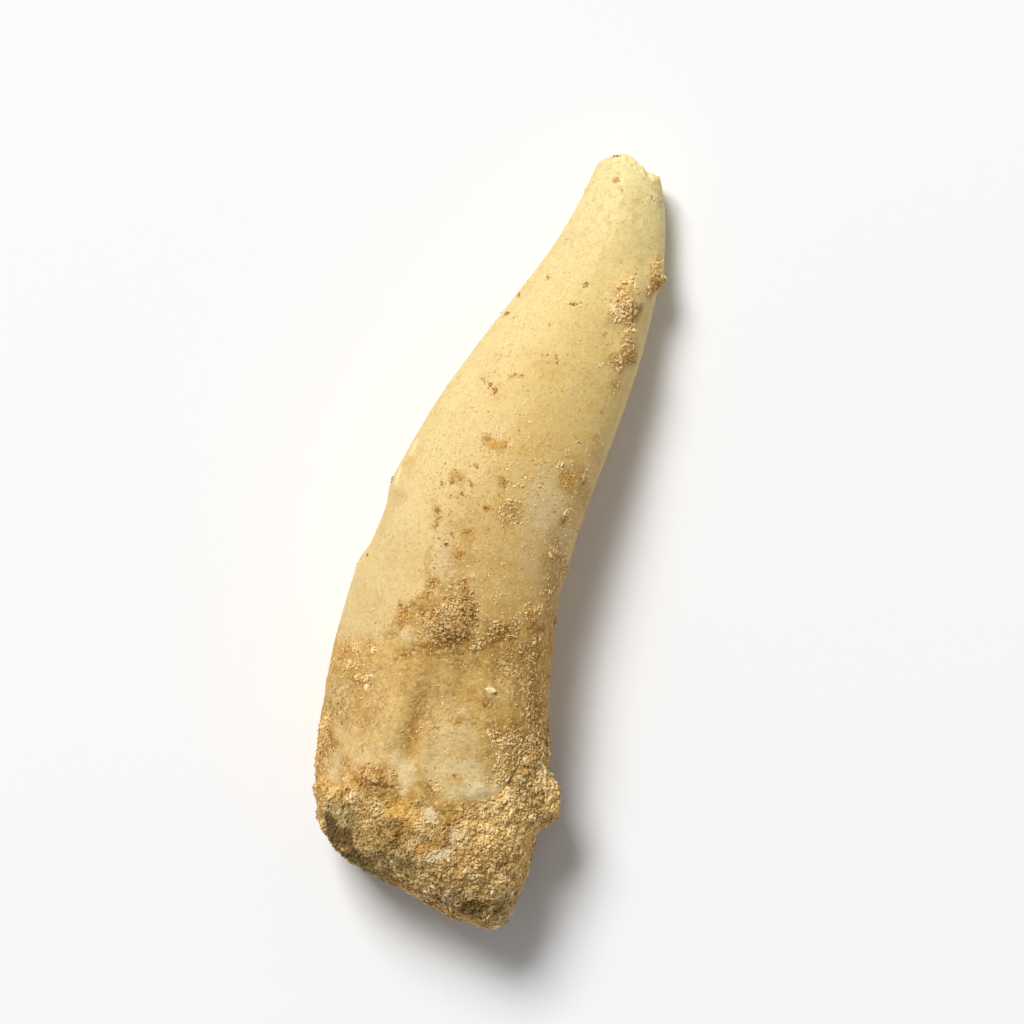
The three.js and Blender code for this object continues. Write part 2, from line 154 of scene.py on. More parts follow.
# Stains and other differences of colour, on the fang and on the matrix, with painted light and shade among them.
ORANGE = marks(
    (-186, 367, 31, 21, 75), (-209, 392, 21, 15, 100), (-142, 380, 21, 21, 70), (14, 1854, 18, 11, 100),
    (-319, 154, 36, 31, 45), (-193, -102, 31, 21, 70), (-207, -213, 31, 26, 75), (-272, -405, 26, 26, 35),
    (-299, -472, 31, 13, 60, 57), (-110, -372, 15, 31, 25), (-377, -587, 26, 31, 90), (-385, -649, 15, 36, 35),
    (-310, -561, 36, 13, 70), (256, -394, 21, 26, 60), (228, 311, 26, 62, 55), (-2, 1168, 21, 15, 50),
    (-175, 735, 41, 21, 45), (42, -186, 72, 15, 30), (-3, 401, 82, 46, 22), (-237, 641, 51, 36, 20),
    (-47, 806, 92, 46, 20), (-89, -54, 15, 15, 50), (-129, 57, 21, 15, 80), (-102, -1522, 67, 46, 100),
    (-10, -1542, 31, 31, 70), (-474, -1566, 62, 51, 35), (-389, -1513, 82, 26, 50, 52), (158, -1442, 72, 21, 60),
    (137, -1497, 41, 51, 50), (-170, -1420, 26, 41, 30), (-566, -1353, 36, 113, 10), (86, -1153, 62, 72, 22),
    (-140, -1115, 36, 72, 15), (60, -1017, 36, 21, 40), (116, -1305, 26, 26, 40), (150, -539, 82, 21, 40, 37),
    (-635, -865, 51, 31, 30, 47), (245, 1255, 51, 92, 40, 32), (345, 1017, 36, 51, 30), (353, 1518, 15, 31, 35),
    (-565, 133, 31, 46, 25), (200, 1965, 36, 133, 20), (-171, 371, 26, 21, 90), (-269, -484, 31, 51, 35, 57),
    (132, -1531, 46, 21, 75, 7), (85, -1695, 72, 51, 70))
# Brown stains. Some of these patches are painted shade instead: the shadows at the lower right of the crumb heaps near
# the tip, the band of shadow below the sand band, where the enamel ends in a ledge, and the shade in the hollow of the
# bony base on the right.
BROWN = marks(
    (-147, -565, 113, 87, 85), (-48, -503, 36, 62, 120), (-86, -627, 87, 46, 110), (-170, -422, 62, 46, 45),
    (-248, -639, 82, 41, 35, 42), (61, -598, 82, 41, 65, 37), (159, -515, 92, 41, 105, 22), (288, -464, 51, 62, 85),
    (249, -862, 82, 51, 25), (-140, -1132, 31, 62, 42), (-158, -987, 51, 123, 30, 27), (-142, -1196, 51, 72, 30),
    (-196, -811, 133, 51, 22), (-149, -877, 82, 72, 20), (17, -719, 113, 41, 30), (-264, -1448, 97, 77, 90),
    (-364, -1489, 72, 31, 60, 47), (59, -1012, 41, 21, 40, 27), (157, -1491, 56, 62, 75), (235, -1430, 72, 36, 50),
    (10, -1397, 51, 21, 60, -23), (351, -1019, 103, 113, 36), (464, -1038, 62, 144, 42), (437, -1180, 113, 92, 20),
    (571, -1300, 41, 72, 25), (-591, -1360, 31, 133, 75), (-539, -1425, 41, 62, 50), (-603, -882, 72, 31, 50, 47),
    (-549, -935, 51, 21, 50, 47), (-474, -971, 46, 26, 50, 2), (242, 1265, 51, 103, 30, 32), (303, 1224, 36, 41, 80),
    (204, 1162, 41, 41, 40), (328, 1039, 41, 72, 60), (295, 953, 41, 36, 60), (355, 1422, 31, 62, 80),
    (348, 1356, 21, 31, 60), (357, 1520, 15, 36, 25), (318, 842, 21, 36, 40), (-15, 54, 56, 62, 50),
    (-82, 184, 26, 31, 40), (-366, -42, 21, 62, 35), (-319, 154, 36, 31, 35), (221, 298, 26, 62, 40),
    (267, 98, 26, 26, 60), (284, -101, 46, 133, 45), (330, -301, 41, 174, 50), (409, -492, 41, 174, 55),
    (455, -746, 36, 123, 50), (317, 284, 36, 133, 35, 29), (338, 479, 31, 82, 12, 32), (258, -136, 36, 62, 40),
    (255, -619, 123, 82, 65), (330, -741, 87, 123, 60), (409, -824, 51, 82, 70), (201, -705, 72, 72, 40),
    (-145, -715, 154, 21, 50), (-15, -702, 154, 41, 35), (-373, -564, 21, 36, 110), (-376, -624, 21, 46, 85, 2),
    (-346, -529, 41, 13, 80, 57), (-310, -470, 41, 13, 70, 59), (-285, -414, 26, 31, 90), (-255, -389, 21, 21, 70),
    (-251, -543, 72, 15, 85, 22), (-286, -533, 51, 13, 60, 37), (-109, -376, 18, 46, 85), (-120, -428, 41, 15, 50, 27),
    (-180, -388, 15, 31, 45), (-202, -475, 15, 46, 50, 42), (-239, -475, 41, 15, 50, 47), (-101, -648, 72, 26, 110),
    (-191, -702, 72, 21, 80, 12), (-289, -769, 72, 15, 60, 52), (-404, -708, 31, 21, 50, 42), (-1, -660, 154, 26, 60),
    (120, -580, 72, 26, 90, 47), (-521, -1098, 62, 144, 30), (-485, -1408, 26, 103, 30), (-369, -86, 36, 72, 15),
    (-273, -191, 41, 72, 12), (-172, -240, 72, 51, 35), (-87, -375, 72, 31, 20), (176, -885, 51, 26, 40),
    (141, -842, 15, 41, 60), (-261, -1490, 82, 51, 50), (-69, -611, 62, 26, 105, 37), (-54, -451, 26, 51, 60),
    (-181, -629, 41, 31, 80), (-390, -543, 15, 21, 110), (-296, -482, 31, 15, 50, 59), (-209, 392, 21, 15, 50),
    (-136, 361, 21, 15, 35), (-292, 136, 26, 21, 40), (-381, -47, 15, 21, 40), (-365, -117, 21, 26, 20),
    (-216, -307, 62, 15, 35, 87), (-329, -288, 15, 72, 35), (-573, -14, 41, 31, 18), (-533, -565, 62, 103, 12),
    (-279, -397, 31, 31, 90), (-305, -453, 41, 15, 80, 59), (-346, -546, 41, 15, 90, 47), (-407, -645, 15, 46, 60, -3),
    (-107, -381, 21, 46, 90), (-604, -614, 133, 154, 10, 27), (-492, -982, 154, 231, 26, 27),
    (-85, -911, 133, 174, 10), (-540, -299, 103, 179, 14, 32), (-134, -363, 41, 72, 25), (-101, -1683, 72, 41, 20),
    (-152, -690, 154, 41, 15, 22), (-226, 376, 21, 31, 55), (381, 1425, 31, 41, 80), (-556, -1334, 41, 72, 90),
    (-421, -1389, 51, 51, 12), (156, -998, 62, 72, 10), (-257, 56, 51, 41, 25), (-175, 0, 41, 41, 22),
    (-258, -79, 51, 51, 25), (-172, -133, 41, 51, 28), (-246, -209, 51, 51, 22), (-265, -322, 51, 41, 18),
    (-553, -1134, 82, 103, 50), (-336, -596, 41, 31, 50), (143, -1549, 51, 13, 50, 7), (82, -457, 82, 62, 35),
    (93, -492, 72, 26, 60), (-250, -511, 82, 46, 55), (-79, -437, 51, 36, 90), (30, -1144, 154, 174, 10),
    (-424, -1433, 51, 72, 40), (-609, -1232, 41, 82, 45), (145, -1698, 62, 41, 30))
PALE = marks(
    (-169, 452, 26, 26, 50), (-131, 416, 21, 31, 40), (-319, -688, 41, 31, 100), (-369, -735, 26, 21, 40),
    (-82, -288, 36, 15, 50, 2), (-251, -280, 51, 72, 50), (-302, -200, 36, 36, 40), (128, 763, 46, 26, 35),
    (164, -829, 21, 41, 100), (214, -819, 26, 46, 40), (-76, -1080, 10, 10, 70), (-59, -1171, 31, 113, 30),
    (-470, -964, 36, 21, 50), (258, -66, 26, 26, 40), (-377, -131, 31, 46, 30), (-431, -480, 103, 154, 15),
    (232, 1824, 36, 21, 50), (256, 1274, 41, 72, 20, 27), (281, -703, 92, 133, 30), (-119, -975, 103, 103, 20))
# Cream patches on the bony base above the matrix. The bone is cream there, and the patches are lighter still as painted
# light on the slope down to the matrix's rim, which turns away from the light.
CREAM = marks(
    (236, -1328, 103, 46, 100), (332, -1293, 26, 41, 80), (144, -1377, 51, 36, 70), (56, -1109, 92, 113, 50),
    (58, -1253, 92, 92, 60), (160, -1238, 72, 62, 62), (-144, -1385, 36, 72, 80), (-195, -1304, 46, 46, 50),
    (-105, -1335, 41, 62, 50), (-336, -1352, 62, 36, 40), (-486, -1441, 31, 56, 60), (-543, -1061, 46, 62, 10),
    (-525, -1260, 26, 46, 25), (-339, -1042, 72, 185, 25, 27), (300, -1115, 15, 41, 50), (315, -1218, 21, 31, 60),
    (-262, -1206, 72, 103, 25))
GREY = marks(
    (157, 139, 87, 154, 80), (279, 5, 51, 154, 50), (162, -138, 82, 72, 35), (-263, -241, 51, 103, 30),
    (-560, -1110, 72, 92, 55), (-444, -1278, 113, 82, 40))
# Dark specks.
SPECKS = marks(
    (-24, 1977, 15, 7, 100), (-289, 1145, 11, 11, 100), (-326, 1037, 13, 9, 100), (-265, 1029, 13, 11, 60),
    (-171, 1267, 9, 15, 70, -13), (-255, 1225, 11, 7, 40), (23, 1299, 17, 11, 100, 37), (136, 1243, 10, 8, 70),
    (-2, 1168, 22, 11, 90, 27), (23, 1192, 9, 9, 70), (64, 1199, 13, 8, 80), (190, 1066, 10, 15, 90),
    (-83, 1047, 15, 7, 60, -13), (-14, 891, 11, 10, 90), (-11, 865, 9, 7, 80), (-53, 879, 7, 7, 50),
    (-79, 877, 9, 9, 60), (-196, 734, 22, 13, 70), (-145, 744, 13, 13, 70), (-345, 661, 13, 10, 60),
    (-294, 650, 14, 11, 100, -3), (-257, 635, 13, 13, 100), (-298, 821, 11, 13, 50), (-495, 589, 9, 9, 50),
    (-214, 390, 15, 11, 90), (-191, 349, 17, 8, 70), (-270, 379, 7, 13, 60), (-251, 336, 9, 7, 50),
    (-133, 335, 9, 7, 70), (-242, 237, 13, 13, 90, 47), (-270, 223, 11, 7, 70), (-328, 184, 9, 9, 70),
    (-328, 130, 13, 9, 80), (-297, 151, 13, 9, 80), (-382, 98, 11, 9, 90), (-352, 262, 7, 7, 50), (-249, 154, 9, 7, 60),
    (-224, 141, 11, 9, 60), (-163, 224, 7, 13, 50), (-264, 80, 8, 13, 100, -3), (-318, 64, 7, 9, 70),
    (-307, 8, 9, 9, 60), (-368, -37, 15, 15, 100), (-346, -74, 9, 13, 80), (-363, -122, 13, 9, 100, 47),
    (-356, -93, 9, 13, 80), (-129, 57, 12, 10, 100), (-161, 74, 8, 7, 70), (-85, 194, 9, 13, 80), (-57, 175, 9, 7, 60),
    (-88, 134, 11, 7, 60), (-295, -47, 9, 13, 70), (-268, -136, 9, 9, 70), (-252, -136, 8, 13, 80),
    (-193, -102, 20, 13, 90, 37), (-173, -80, 11, 9, 80), (-322, -168, 8, 8, 100), (-273, -191, 12, 10, 100),
    (-338, -221, 7, 9, 80), (-299, -263, 9, 6, 90), (-287, -302, 6, 9, 80), (-309, -282, 4, 13, 50),
    (-187, -224, 15, 10, 100), (-222, -234, 11, 9, 80), (-158, -198, 6, 13, 90), (-301, -344, 9, 9, 60),
    (-267, -366, 9, 9, 60), (-56, -162, 7, 7, 50), (201, 83, 9, 7, 80), (268, 93, 17, 9, 90, 37),
    (308, 314, 10, 8, 100), (215, 355, 9, 7, 80), (227, 509, 13, 8, 80), (296, 562, 8, 8, 70), (-347, -718, 10, 9, 90),
    (-292, -722, 13, 8, 100, 47), (-316, -767, 22, 6, 80, 52), (-258, -696, 13, 5, 60, 57), (-524, -965, 9, 17, 80),
    (-425, -972, 11, 9, 90), (-598, -1143, 7, 10, 100), (-565, -1127, 9, 10, 80), (-515, -1203, 9, 9, 50),
    (-514, -1332, 8, 9, 70), (-166, -1118, 10, 10, 80), (-131, -1145, 11, 17, 80), (-29, -1076, 17, 7, 80, -3),
    (59, -1012, 17, 10, 80, 42), (147, -1001, 22, 6, 60, 27), (152, -913, 10, 10, 100), (-50, -868, 7, 9, 60),
    (12, -806, 9, 11, 60), (115, -1300, 9, 13, 80, -13), (197, -1307, 9, 13, 50), (-375, -1311, 5, 22, 60),
    (-433, -1457, 7, 13, 80), (7, -1387, 26, 6, 90, -23), (-9, -1440, 13, 7, 90, -33), (-187, -1489, 8, 7, 90),
    (-418, -1399, 9, 7, 70), (-453, -1511, 7, 9, 50), (321, 833, 11, 17, 60), (300, 848, 7, 7, 50),
    (352, 837, 7, 7, 50), (310, 604, 7, 7, 60), (198, 532, 7, 7, 50), (416, -532, 9, 9, 50), (420, -579, 9, 9, 60),
    (430, -684, 9, 9, 60), (387, -402, 13, 7, 80, 47), (420, -456, 9, 9, 80), (354, -380, 7, 9, 70),
    (268, -310, 9, 13, 60), (-635, 47, 6, 21, 80, -5), (-684, -407, 6, 21, 60, -8), (-648, -365, 10, 6, 60, 57))
# Zones of small brown dots.
DOTTED = marks(
    (-276, -111, 154, 308, 100), (-273, 319, 174, 133, 55), (-45, 13, 256, 359, 50, 7), (69, 691, 308, 308, 25),
    (-599, 595, 256, 308, 35, 47), (6, 1423, 256, 308, 14), (-435, 1288, 308, 308, 20, 47), (-119, -975, 513, 308, 45),
    (-251, -543, 256, 133, 80), (276, -425, 123, 308, 60), (-596, 59, 154, 462, 12, 27), (-608, -427, 154, 308, 15),
    (102, 1988, 205, 308, 10), (-176, -349, 103, 82, 80))
# Broken lines: a crack at the tip, pale lines at the cutting edge, where the edge is flaked pale and the lines also
# paint the highlight it catches, and an arc.
CRACK = [(0.7, 17.2), (1.1, 17.55), (1.6, 17.95), (2.1, 18.1), (2.75, 18.15)]
EDGE_LINES = [[(-5.68, 2.74), (-5.78, 2.01)], [(-6.06, 1.2), (-6.09, 0.31)]]
ARC = [(-2.1, 14.9), (-1.6, 15.05), (-1.2, 14.95), (-1.05, 14.7)]
# Places on the matrix without sand and with little of it.
BARE = marks(
    (53, -1501, 31, 41, 90), (220, -1574, 36, 21, 85, 37), (171, -1696, 51, 21, 100, 32), (11, -1643, 18, 15, 50),
    (-209, -1785, 18, 21, 15), (325, -1375, 26, 21, 40))
THIN = marks(
    (131, -1477, 62, 51, 80), (-92, -1519, 67, 41, 75), (-466, -1558, 72, 41, 55), (-102, -1468, 103, 21, 40))
# The matrix's olive and dark parts and its golden ones. The dark patches are painted shade where the matrix turns away
# from the light, along its bottom and lower left and under the knob. The olive is grey-green, with painted shade along
# the lower-left bevel too. Some golden patches are painted light, on the knob's right flank and on the bottom's flank,
# which turn away from the light.
OLIVE = marks(
    (-348, -1715, 133, 103, 90, -13), (-122, -1753, 195, 70, 70, -10), (149, -1815, 195, 72, 30, -10),
    (-164, -1879, 154, 41, 80, -10), (377, -1896, 154, 62, 60, 2), (566, -1881, 82, 72, 60), (445, -1221, 87, 77, 30),
    (573, -1729, 41, 92, 10), (-489, -1657, 41, 62, 20), (-195, -1636, 103, 41, 40, 7))
DARK_SHADE = marks(
    (-80, -1681, 82, 62, 75), (-456, -1678, 41, 51, 25), (-338, -1782, 67, 67, 90, -13), (-410, -1723, 36, 41, 60),
    (-244, -1828, 46, 31, 70), (411, -1901, 113, 41, 100, 7), (297, -1877, 36, 41, 60), (397, -1713, 31, 36, 30),
    (472, -1663, 51, 21, 20), (638, -1381, 41, 15, 20, 27), (-2, -1883, 133, 21, 30, -10),
    (232, -1946, 82, 26, 40, -8), (-103, -1624, 46, 41, 35), (-270, -1622, 26, 41, 30), (315, -1550, 15, 31, 30),
    (615, -1796, 31, 51, 30), (109, -1683, 31, 26, 30), (162, -1629, 62, 41, 50), (21, -1747, 72, 41, 8, -3),
    (127, -1865, 103, 31, 12, -10), (219, -1729, 51, 26, 15), (-144, -1680, 41, 41, 35), (-407, -1749, 36, 72, 90),
    (-282, -1808, 82, 31, 85, -8), (-450, -1645, 31, 41, 25), (-317, -1818, 92, 41, 35, -13),
    (-34, -1689, 72, 41, 25, -3), (-410, -1600, 41, 51, 20), (-107, -1819, 41, 41, 45), (-245, -1754, 51, 41, 35))
GOLD = marks(
    (431, -1493, 185, 133, 100), (302, -1650, 133, 62, 40), (124, -1769, 62, 31, 25), (-470, -1581, 67, 46, 40),
    (551, -1585, 67, 92, 75), (237, -1788, 92, 41, 80), (-244, -1582, 82, 36, 30), (599, -1254, 51, 72, 90),
    (532, -1875, 103, 51, 60), (367, -1861, 154, 41, 50, -3), (447, -1687, 82, 72, 50), (599, -1656, 51, 72, 60),
    (-4, -1841, 113, 41, 100, -10), (545, -1496, 41, 82, 150), (583, -1340, 41, 41, 140), (-498, -1627, 31, 41, 60))

# ---------------------------------------------------------------- curves, noise, patches


def smooth(t):
    k = np.clip(t, 0, 1)
    return k * k * (3 - 2 * k)


def lerp(a, b, t):
    return a + (b - a) * t


def bell(t, power=2):
    return np.exp(-t ** power)


def curve(points):
    """A smooth function through points, without overshoot: the same one as the solids'."""
    xs, ys = np.array(points, float).T
    slopes = np.diff(ys) / np.diff(xs)
    before, after = np.r_[slopes[0], slopes], np.r_[slopes, slopes[-1]]
    product, total = before * after, before + after
    tangents = np.where(product > 0, 2 * product / np.where(total == 0, 1, total), 0)

    def at(x):
        x = np.clip(np.asarray(x, float), xs[0], xs[-1])
        i = np.clip(np.searchsorted(xs, x, side="right") - 1, 0, len(xs) - 2)
        width = xs[i + 1] - xs[i]
        t = (x - xs[i]) / width
        bend = tangents[i] * (1 - t) ** 2 * t * width - tangents[i + 1] * t * t * (1 - t) * width
        return lerp(ys[i], ys[i + 1], smooth(t)) + bend
    return at


def noise(points, size, seed):
    """Value noise from -1 to 1 at points, whose last axis is X, Y and Z, with lumps of about the given size."""
    p = np.asarray(points, float) / size
    cell = np.floor(p)
    w = smooth(p - cell)
    base = cell.astype(np.int64)
    total = np.zeros(p.shape[:-1])
    for corner in np.ndindex(2, 2, 2):
        key = base + np.array(corner)
        h = (key[..., 0] * 73856093) ^ (key[..., 1] * 19349663) ^ (key[..., 2] * 83492791) ^ (seed * 2654435761)
        h = (h ^ (h >> 13)) * 1274126177 & 0xFFFFFFFF
        h = (h ^ (h >> 16)) & 0xFFFF
        part = np.prod(np.where(np.array(corner) == 1, w, 1 - w), axis=-1)
        total += part * (h / 32767.5 - 1)
    return total


def rough(points, size, octaves, seed):
    """Several sizes of noise added up, each half the size and weight of the one before."""
    return sum(noise(points, size / 2 ** i, seed + i) / 2 ** i for i in range(octaves)) / (2 - 2 ** (1 - octaves))


def reach(patch, x, y):
    """Distance from a patch's middle over its half sizes: 1 on its outline."""
    px, py, wide, long, turn = patch[:5]
    c, s = math.cos(math.radians(turn)), math.sin(math.radians(turn))
    dx, dy = x - px, y - py
    return np.hypot((dx * c + dy * s) / wide, (dy * c - dx * s) / long)


def cover(patches, x, y, ragged=0.0, soft=0.75):
    """How strongly patches cover places: 0 to 1. `ragged` is noise that frays their outlines, `soft` their fading."""
    total = np.zeros(np.shape(x))
    for patch in patches:
        total = np.maximum(total, patch[5] * smooth((1 + 0.6 * soft - reach(patch, x, y) + ragged) / soft))
    return total


def haze(patches, x, y):
    """The same for patches that fade out evenly and add up."""
    return sum(p[5] * bell(reach(p, x, y)) for p in patches)


def warped(place):
    """X and Y of places, pushed about a little, so that what is laid out by them has natural outlines."""
    return [place[..., axis] + 0.16 * noise(place, 0.55, 201 + axis) + 0.05 * noise(place, 0.17, 203 + axis)
            for axis in (0, 1)]


left_at, right_at, under_at, thick_at = map(curve, (CUTTING_EDGE, BACK_EDGE, UNDERSIDE, THICKNESS))
tip_break, root_break, crust_base, crust_rim = map(curve, (TIP_BREAK, ROOT_BREAK, CRUST_BASE, CRUST_RIM))
enamel_end = curve(ENAMEL_END)


def section(angle):
    c, s = np.cos(angle), np.sin(angle)
    power = lerp(SECTION["back"], SECTION["edge"], (1 - c) / 2) * np.where(s < 0, lerp(1, SECTION["under"], -s), 1)
    power = lerp(1, power, np.where(s > 0, smooth(np.abs(c)), 1))  # no crease along the top
    return np.sign(c) * np.abs(c) ** power, np.sign(s) * np.abs(s) ** power


def on_section(y, u, v):
    """X and Z of places given by u across and v upwards, from -1 to 1, and which way the surface faces there."""
    left, right, low, thick = left_at(y), right_at(y), under_at(y), thick_at(y)
    middle = low + MID_HEIGHT * thick
    half_wide, half_tall = (right - left) / 2, np.where(v > 0, low + thick - middle, middle - low)
    nx, nz = u / half_wide, v / half_tall
    length = np.maximum(np.hypot(nx, nz), 1e-9)
    return (left + right) / 2 + u * half_wide, middle + v * half_tall, nx / length, nz / length


def on_end(y, low=0.0):
    """The point in the middle of the section at y, which closes an end."""
    x, z = on_section(np.array(y), np.array(0.0), np.array(0.0))[:2]
    return np.array([float(x), float(y), max(float(z), low)]) + SHIFT


def relief_of(forms, x, y):
    return sum(h * np.exp(-((x - fx) / wide) ** 2 - ((y - fy) / long) ** 2) for fx, fy, wide, long, h in forms)


def rim_line(angle):
    """Where the matrix ends on the fang, round the section."""
    return crust_rim(np.degrees(angle) % 360)


# ---------------------------------------------------------------- meshes


def link(name, data):
    """A new object in the scene."""
    made = bpy.data.objects.new(name, data)
    bpy.context.scene.collection.objects.link(made)
    return made


def make_mesh(name, points, faces, rounded, fields):
    """An object from points in mm, with numbers per point for the materials to read."""
    mesh = bpy.data.meshes.new(name)
    mesh.from_pydata((points * MM).tolist(), [], faces)
    if rounded:
        mesh.polygons.foreach_set("use_smooth", np.ones(len(faces), bool))
    mesh.update()
    for field, values in fields.items():
        mesh.attributes.new(field, "FLOAT", "POINT").data.foreach_set("value", np.asarray(values, np.float32))
    return link(name, mesh)


def facing(rows):
    """Unit normals of rows of points that go round the Y axis."""
    n = np.cross(np.gradient(rows, axis=0), np.roll(rows, -1, 1) - np.roll(rows, 1, 1))
    return n / np.maximum(np.linalg.norm(n, axis=2, keepdims=True), 1e-12)


def grid_mesh(name, rows, ends, fine, painted, last, **places):
    """A closed mesh from rows of points (rows, round, 3), in mm, with a point at each end.

    `fine` moves the points along their normals, `painted` is for the material, and its value for the second end is the
    one numbered `last`. Returns the object with its points, their normals, the area that each point stands for, and
    the numbers in `places`."""
    rows = rows + SHIFT
    rows = rows + facing(rows) * fine[..., None]
    rows[..., 2] = np.maximum(rows[..., 2], 0.0)
    count, around = rows.shape[:2]
    points = rows.reshape(-1, 3)
    k = np.arange(around)
    m = (k + 1) % around
    faces = [[r + a, r + around + a, r + around + b, r + b] for r in range(0, (count - 1) * around, around)
             for a, b in zip(k.tolist(), m.tolist())]
    top = (count - 1) * around
    faces += np.stack([np.full(around, count * around), k, m], -1).tolist()
    faces += np.stack([np.full(around, count * around + 1), top + m, top + k], -1).tolist()
    painted = {field: np.r_[f.ravel(), f.ravel()[[0, last]]] for field, f in painted.items()}
    sides = np.cross(np.roll(rows, -1, 1) - rows, np.gradient(rows, axis=0))
    return SimpleNamespace(piece=make_mesh(name, np.vstack([points, *ends]), faces, True, painted), points=points,
                           normals=facing(rows).reshape(-1, 3), areas=np.linalg.norm(sides, axis=2).ravel(),
                           **{place: f.ravel() for place, f in places.items()})


# ---------------------------------------------------------------- the fang's skin

TOP_SEGMENTS, UNDER_SEGMENTS, HIDDEN_ROWS, SEEN_ROWS, TIP_ROWS = 182, 80, 5, 348, 21
ANGLES = np.r_[np.linspace(0, math.pi, TOP_SEGMENTS, endpoint=False),
               np.linspace(math.pi, 2 * math.pi, UNDER_SEGMENTS, endpoint=False)]
U, V = section(ANGLES)
CROWN_START, CROWN_LENGTH = -8, 27


def tip_surface(u, v):
    """The broken end: the solid's own line with small jags, most of them on the back side."""
    place = np.stack([u * 2.2, v * 1.6, 0 * u + 19], -1)
    jags = 0.12 * noise(place, 0.34, 3) + 0.07 * noise(place, 0.14, 4)
    return tip_break(u) - END_DOME["tip"] * v * v + jags * (0.4 + 0.6 * smooth(u + 0.6))


def root_surface(u, v):
    return root_break(u) + END_DOME["root"] * v * v


def end_rows(surface, u, v, scales):
    """Rows that close an end, as (y, u, v), each the section at another scale."""
    return [(surface(u * scale, v * scale), u * scale, v * scale) for scale in scales]


def tooth_rows():
    """The skin's rows as (y, u, v) arrays, from the hidden root end to the broken tip."""
    rows = end_rows(root_surface, U, V, (0.4, 0.8))
    for level in np.r_[np.linspace(ROOT_FLAT, RIM_FLAT - 1.2, HIDDEN_ROWS),
                       np.linspace(RIM_FLAT - 1.1, TIP_FLAT, SEEN_ROWS)]:
        near_root = 1 - smooth((level - ROOT_FLAT) / 3)
        near_tip = 1 - smooth((TIP_FLAT - level) / 3.5)
        near_rim = 1 - smooth(abs(level - RIM_FLAT) / (3 if level < RIM_FLAT else 14))
        bend = near_root * (root_surface(U, V) - ROOT_FLAT)
        bend = bend + near_tip * (tip_surface(U, V) - TIP_FLAT) + near_rim * (rim_line(ANGLES) - RIM_FLAT)
        rows.append((level + bend, U, V))
    rows += end_rows(tip_surface, U, V, 1 - np.linspace(0.03, 0.97, TIP_ROWS) ** 1.25)
    return [np.array(part) for part in zip(*rows)]


def line_distance(points, x, y):
    """Distance from places to a broken line, and how far along it they are, from 0 to 1."""
    best, place = np.full(np.shape(x), 1e9), np.zeros(np.shape(x))
    for k, ((ax, ay), (bx, by)) in enumerate(zip(points, points[1:])):
        t = np.clip(((x - ax) * (bx - ax) + (y - ay) * (by - ay)) / ((bx - ax) ** 2 + (by - ay) ** 2), 0, 1)
        far = np.hypot(x - ax - t * (bx - ax), y - ay - t * (by - ay))
        place = np.where(far < best, (k + t) / (len(points) - 1), place)
        best = np.minimum(best, far)
    return best, place


def under_dirt(place, y):
    """Sandy dirt on the side that lies on the table, thinning out towards the tip."""
    return smooth((noise(place, 1.9, 31) + 0.35 * noise(place, 0.6, 32) - 0.35) / 0.3) * smooth((2 - y) / 9)


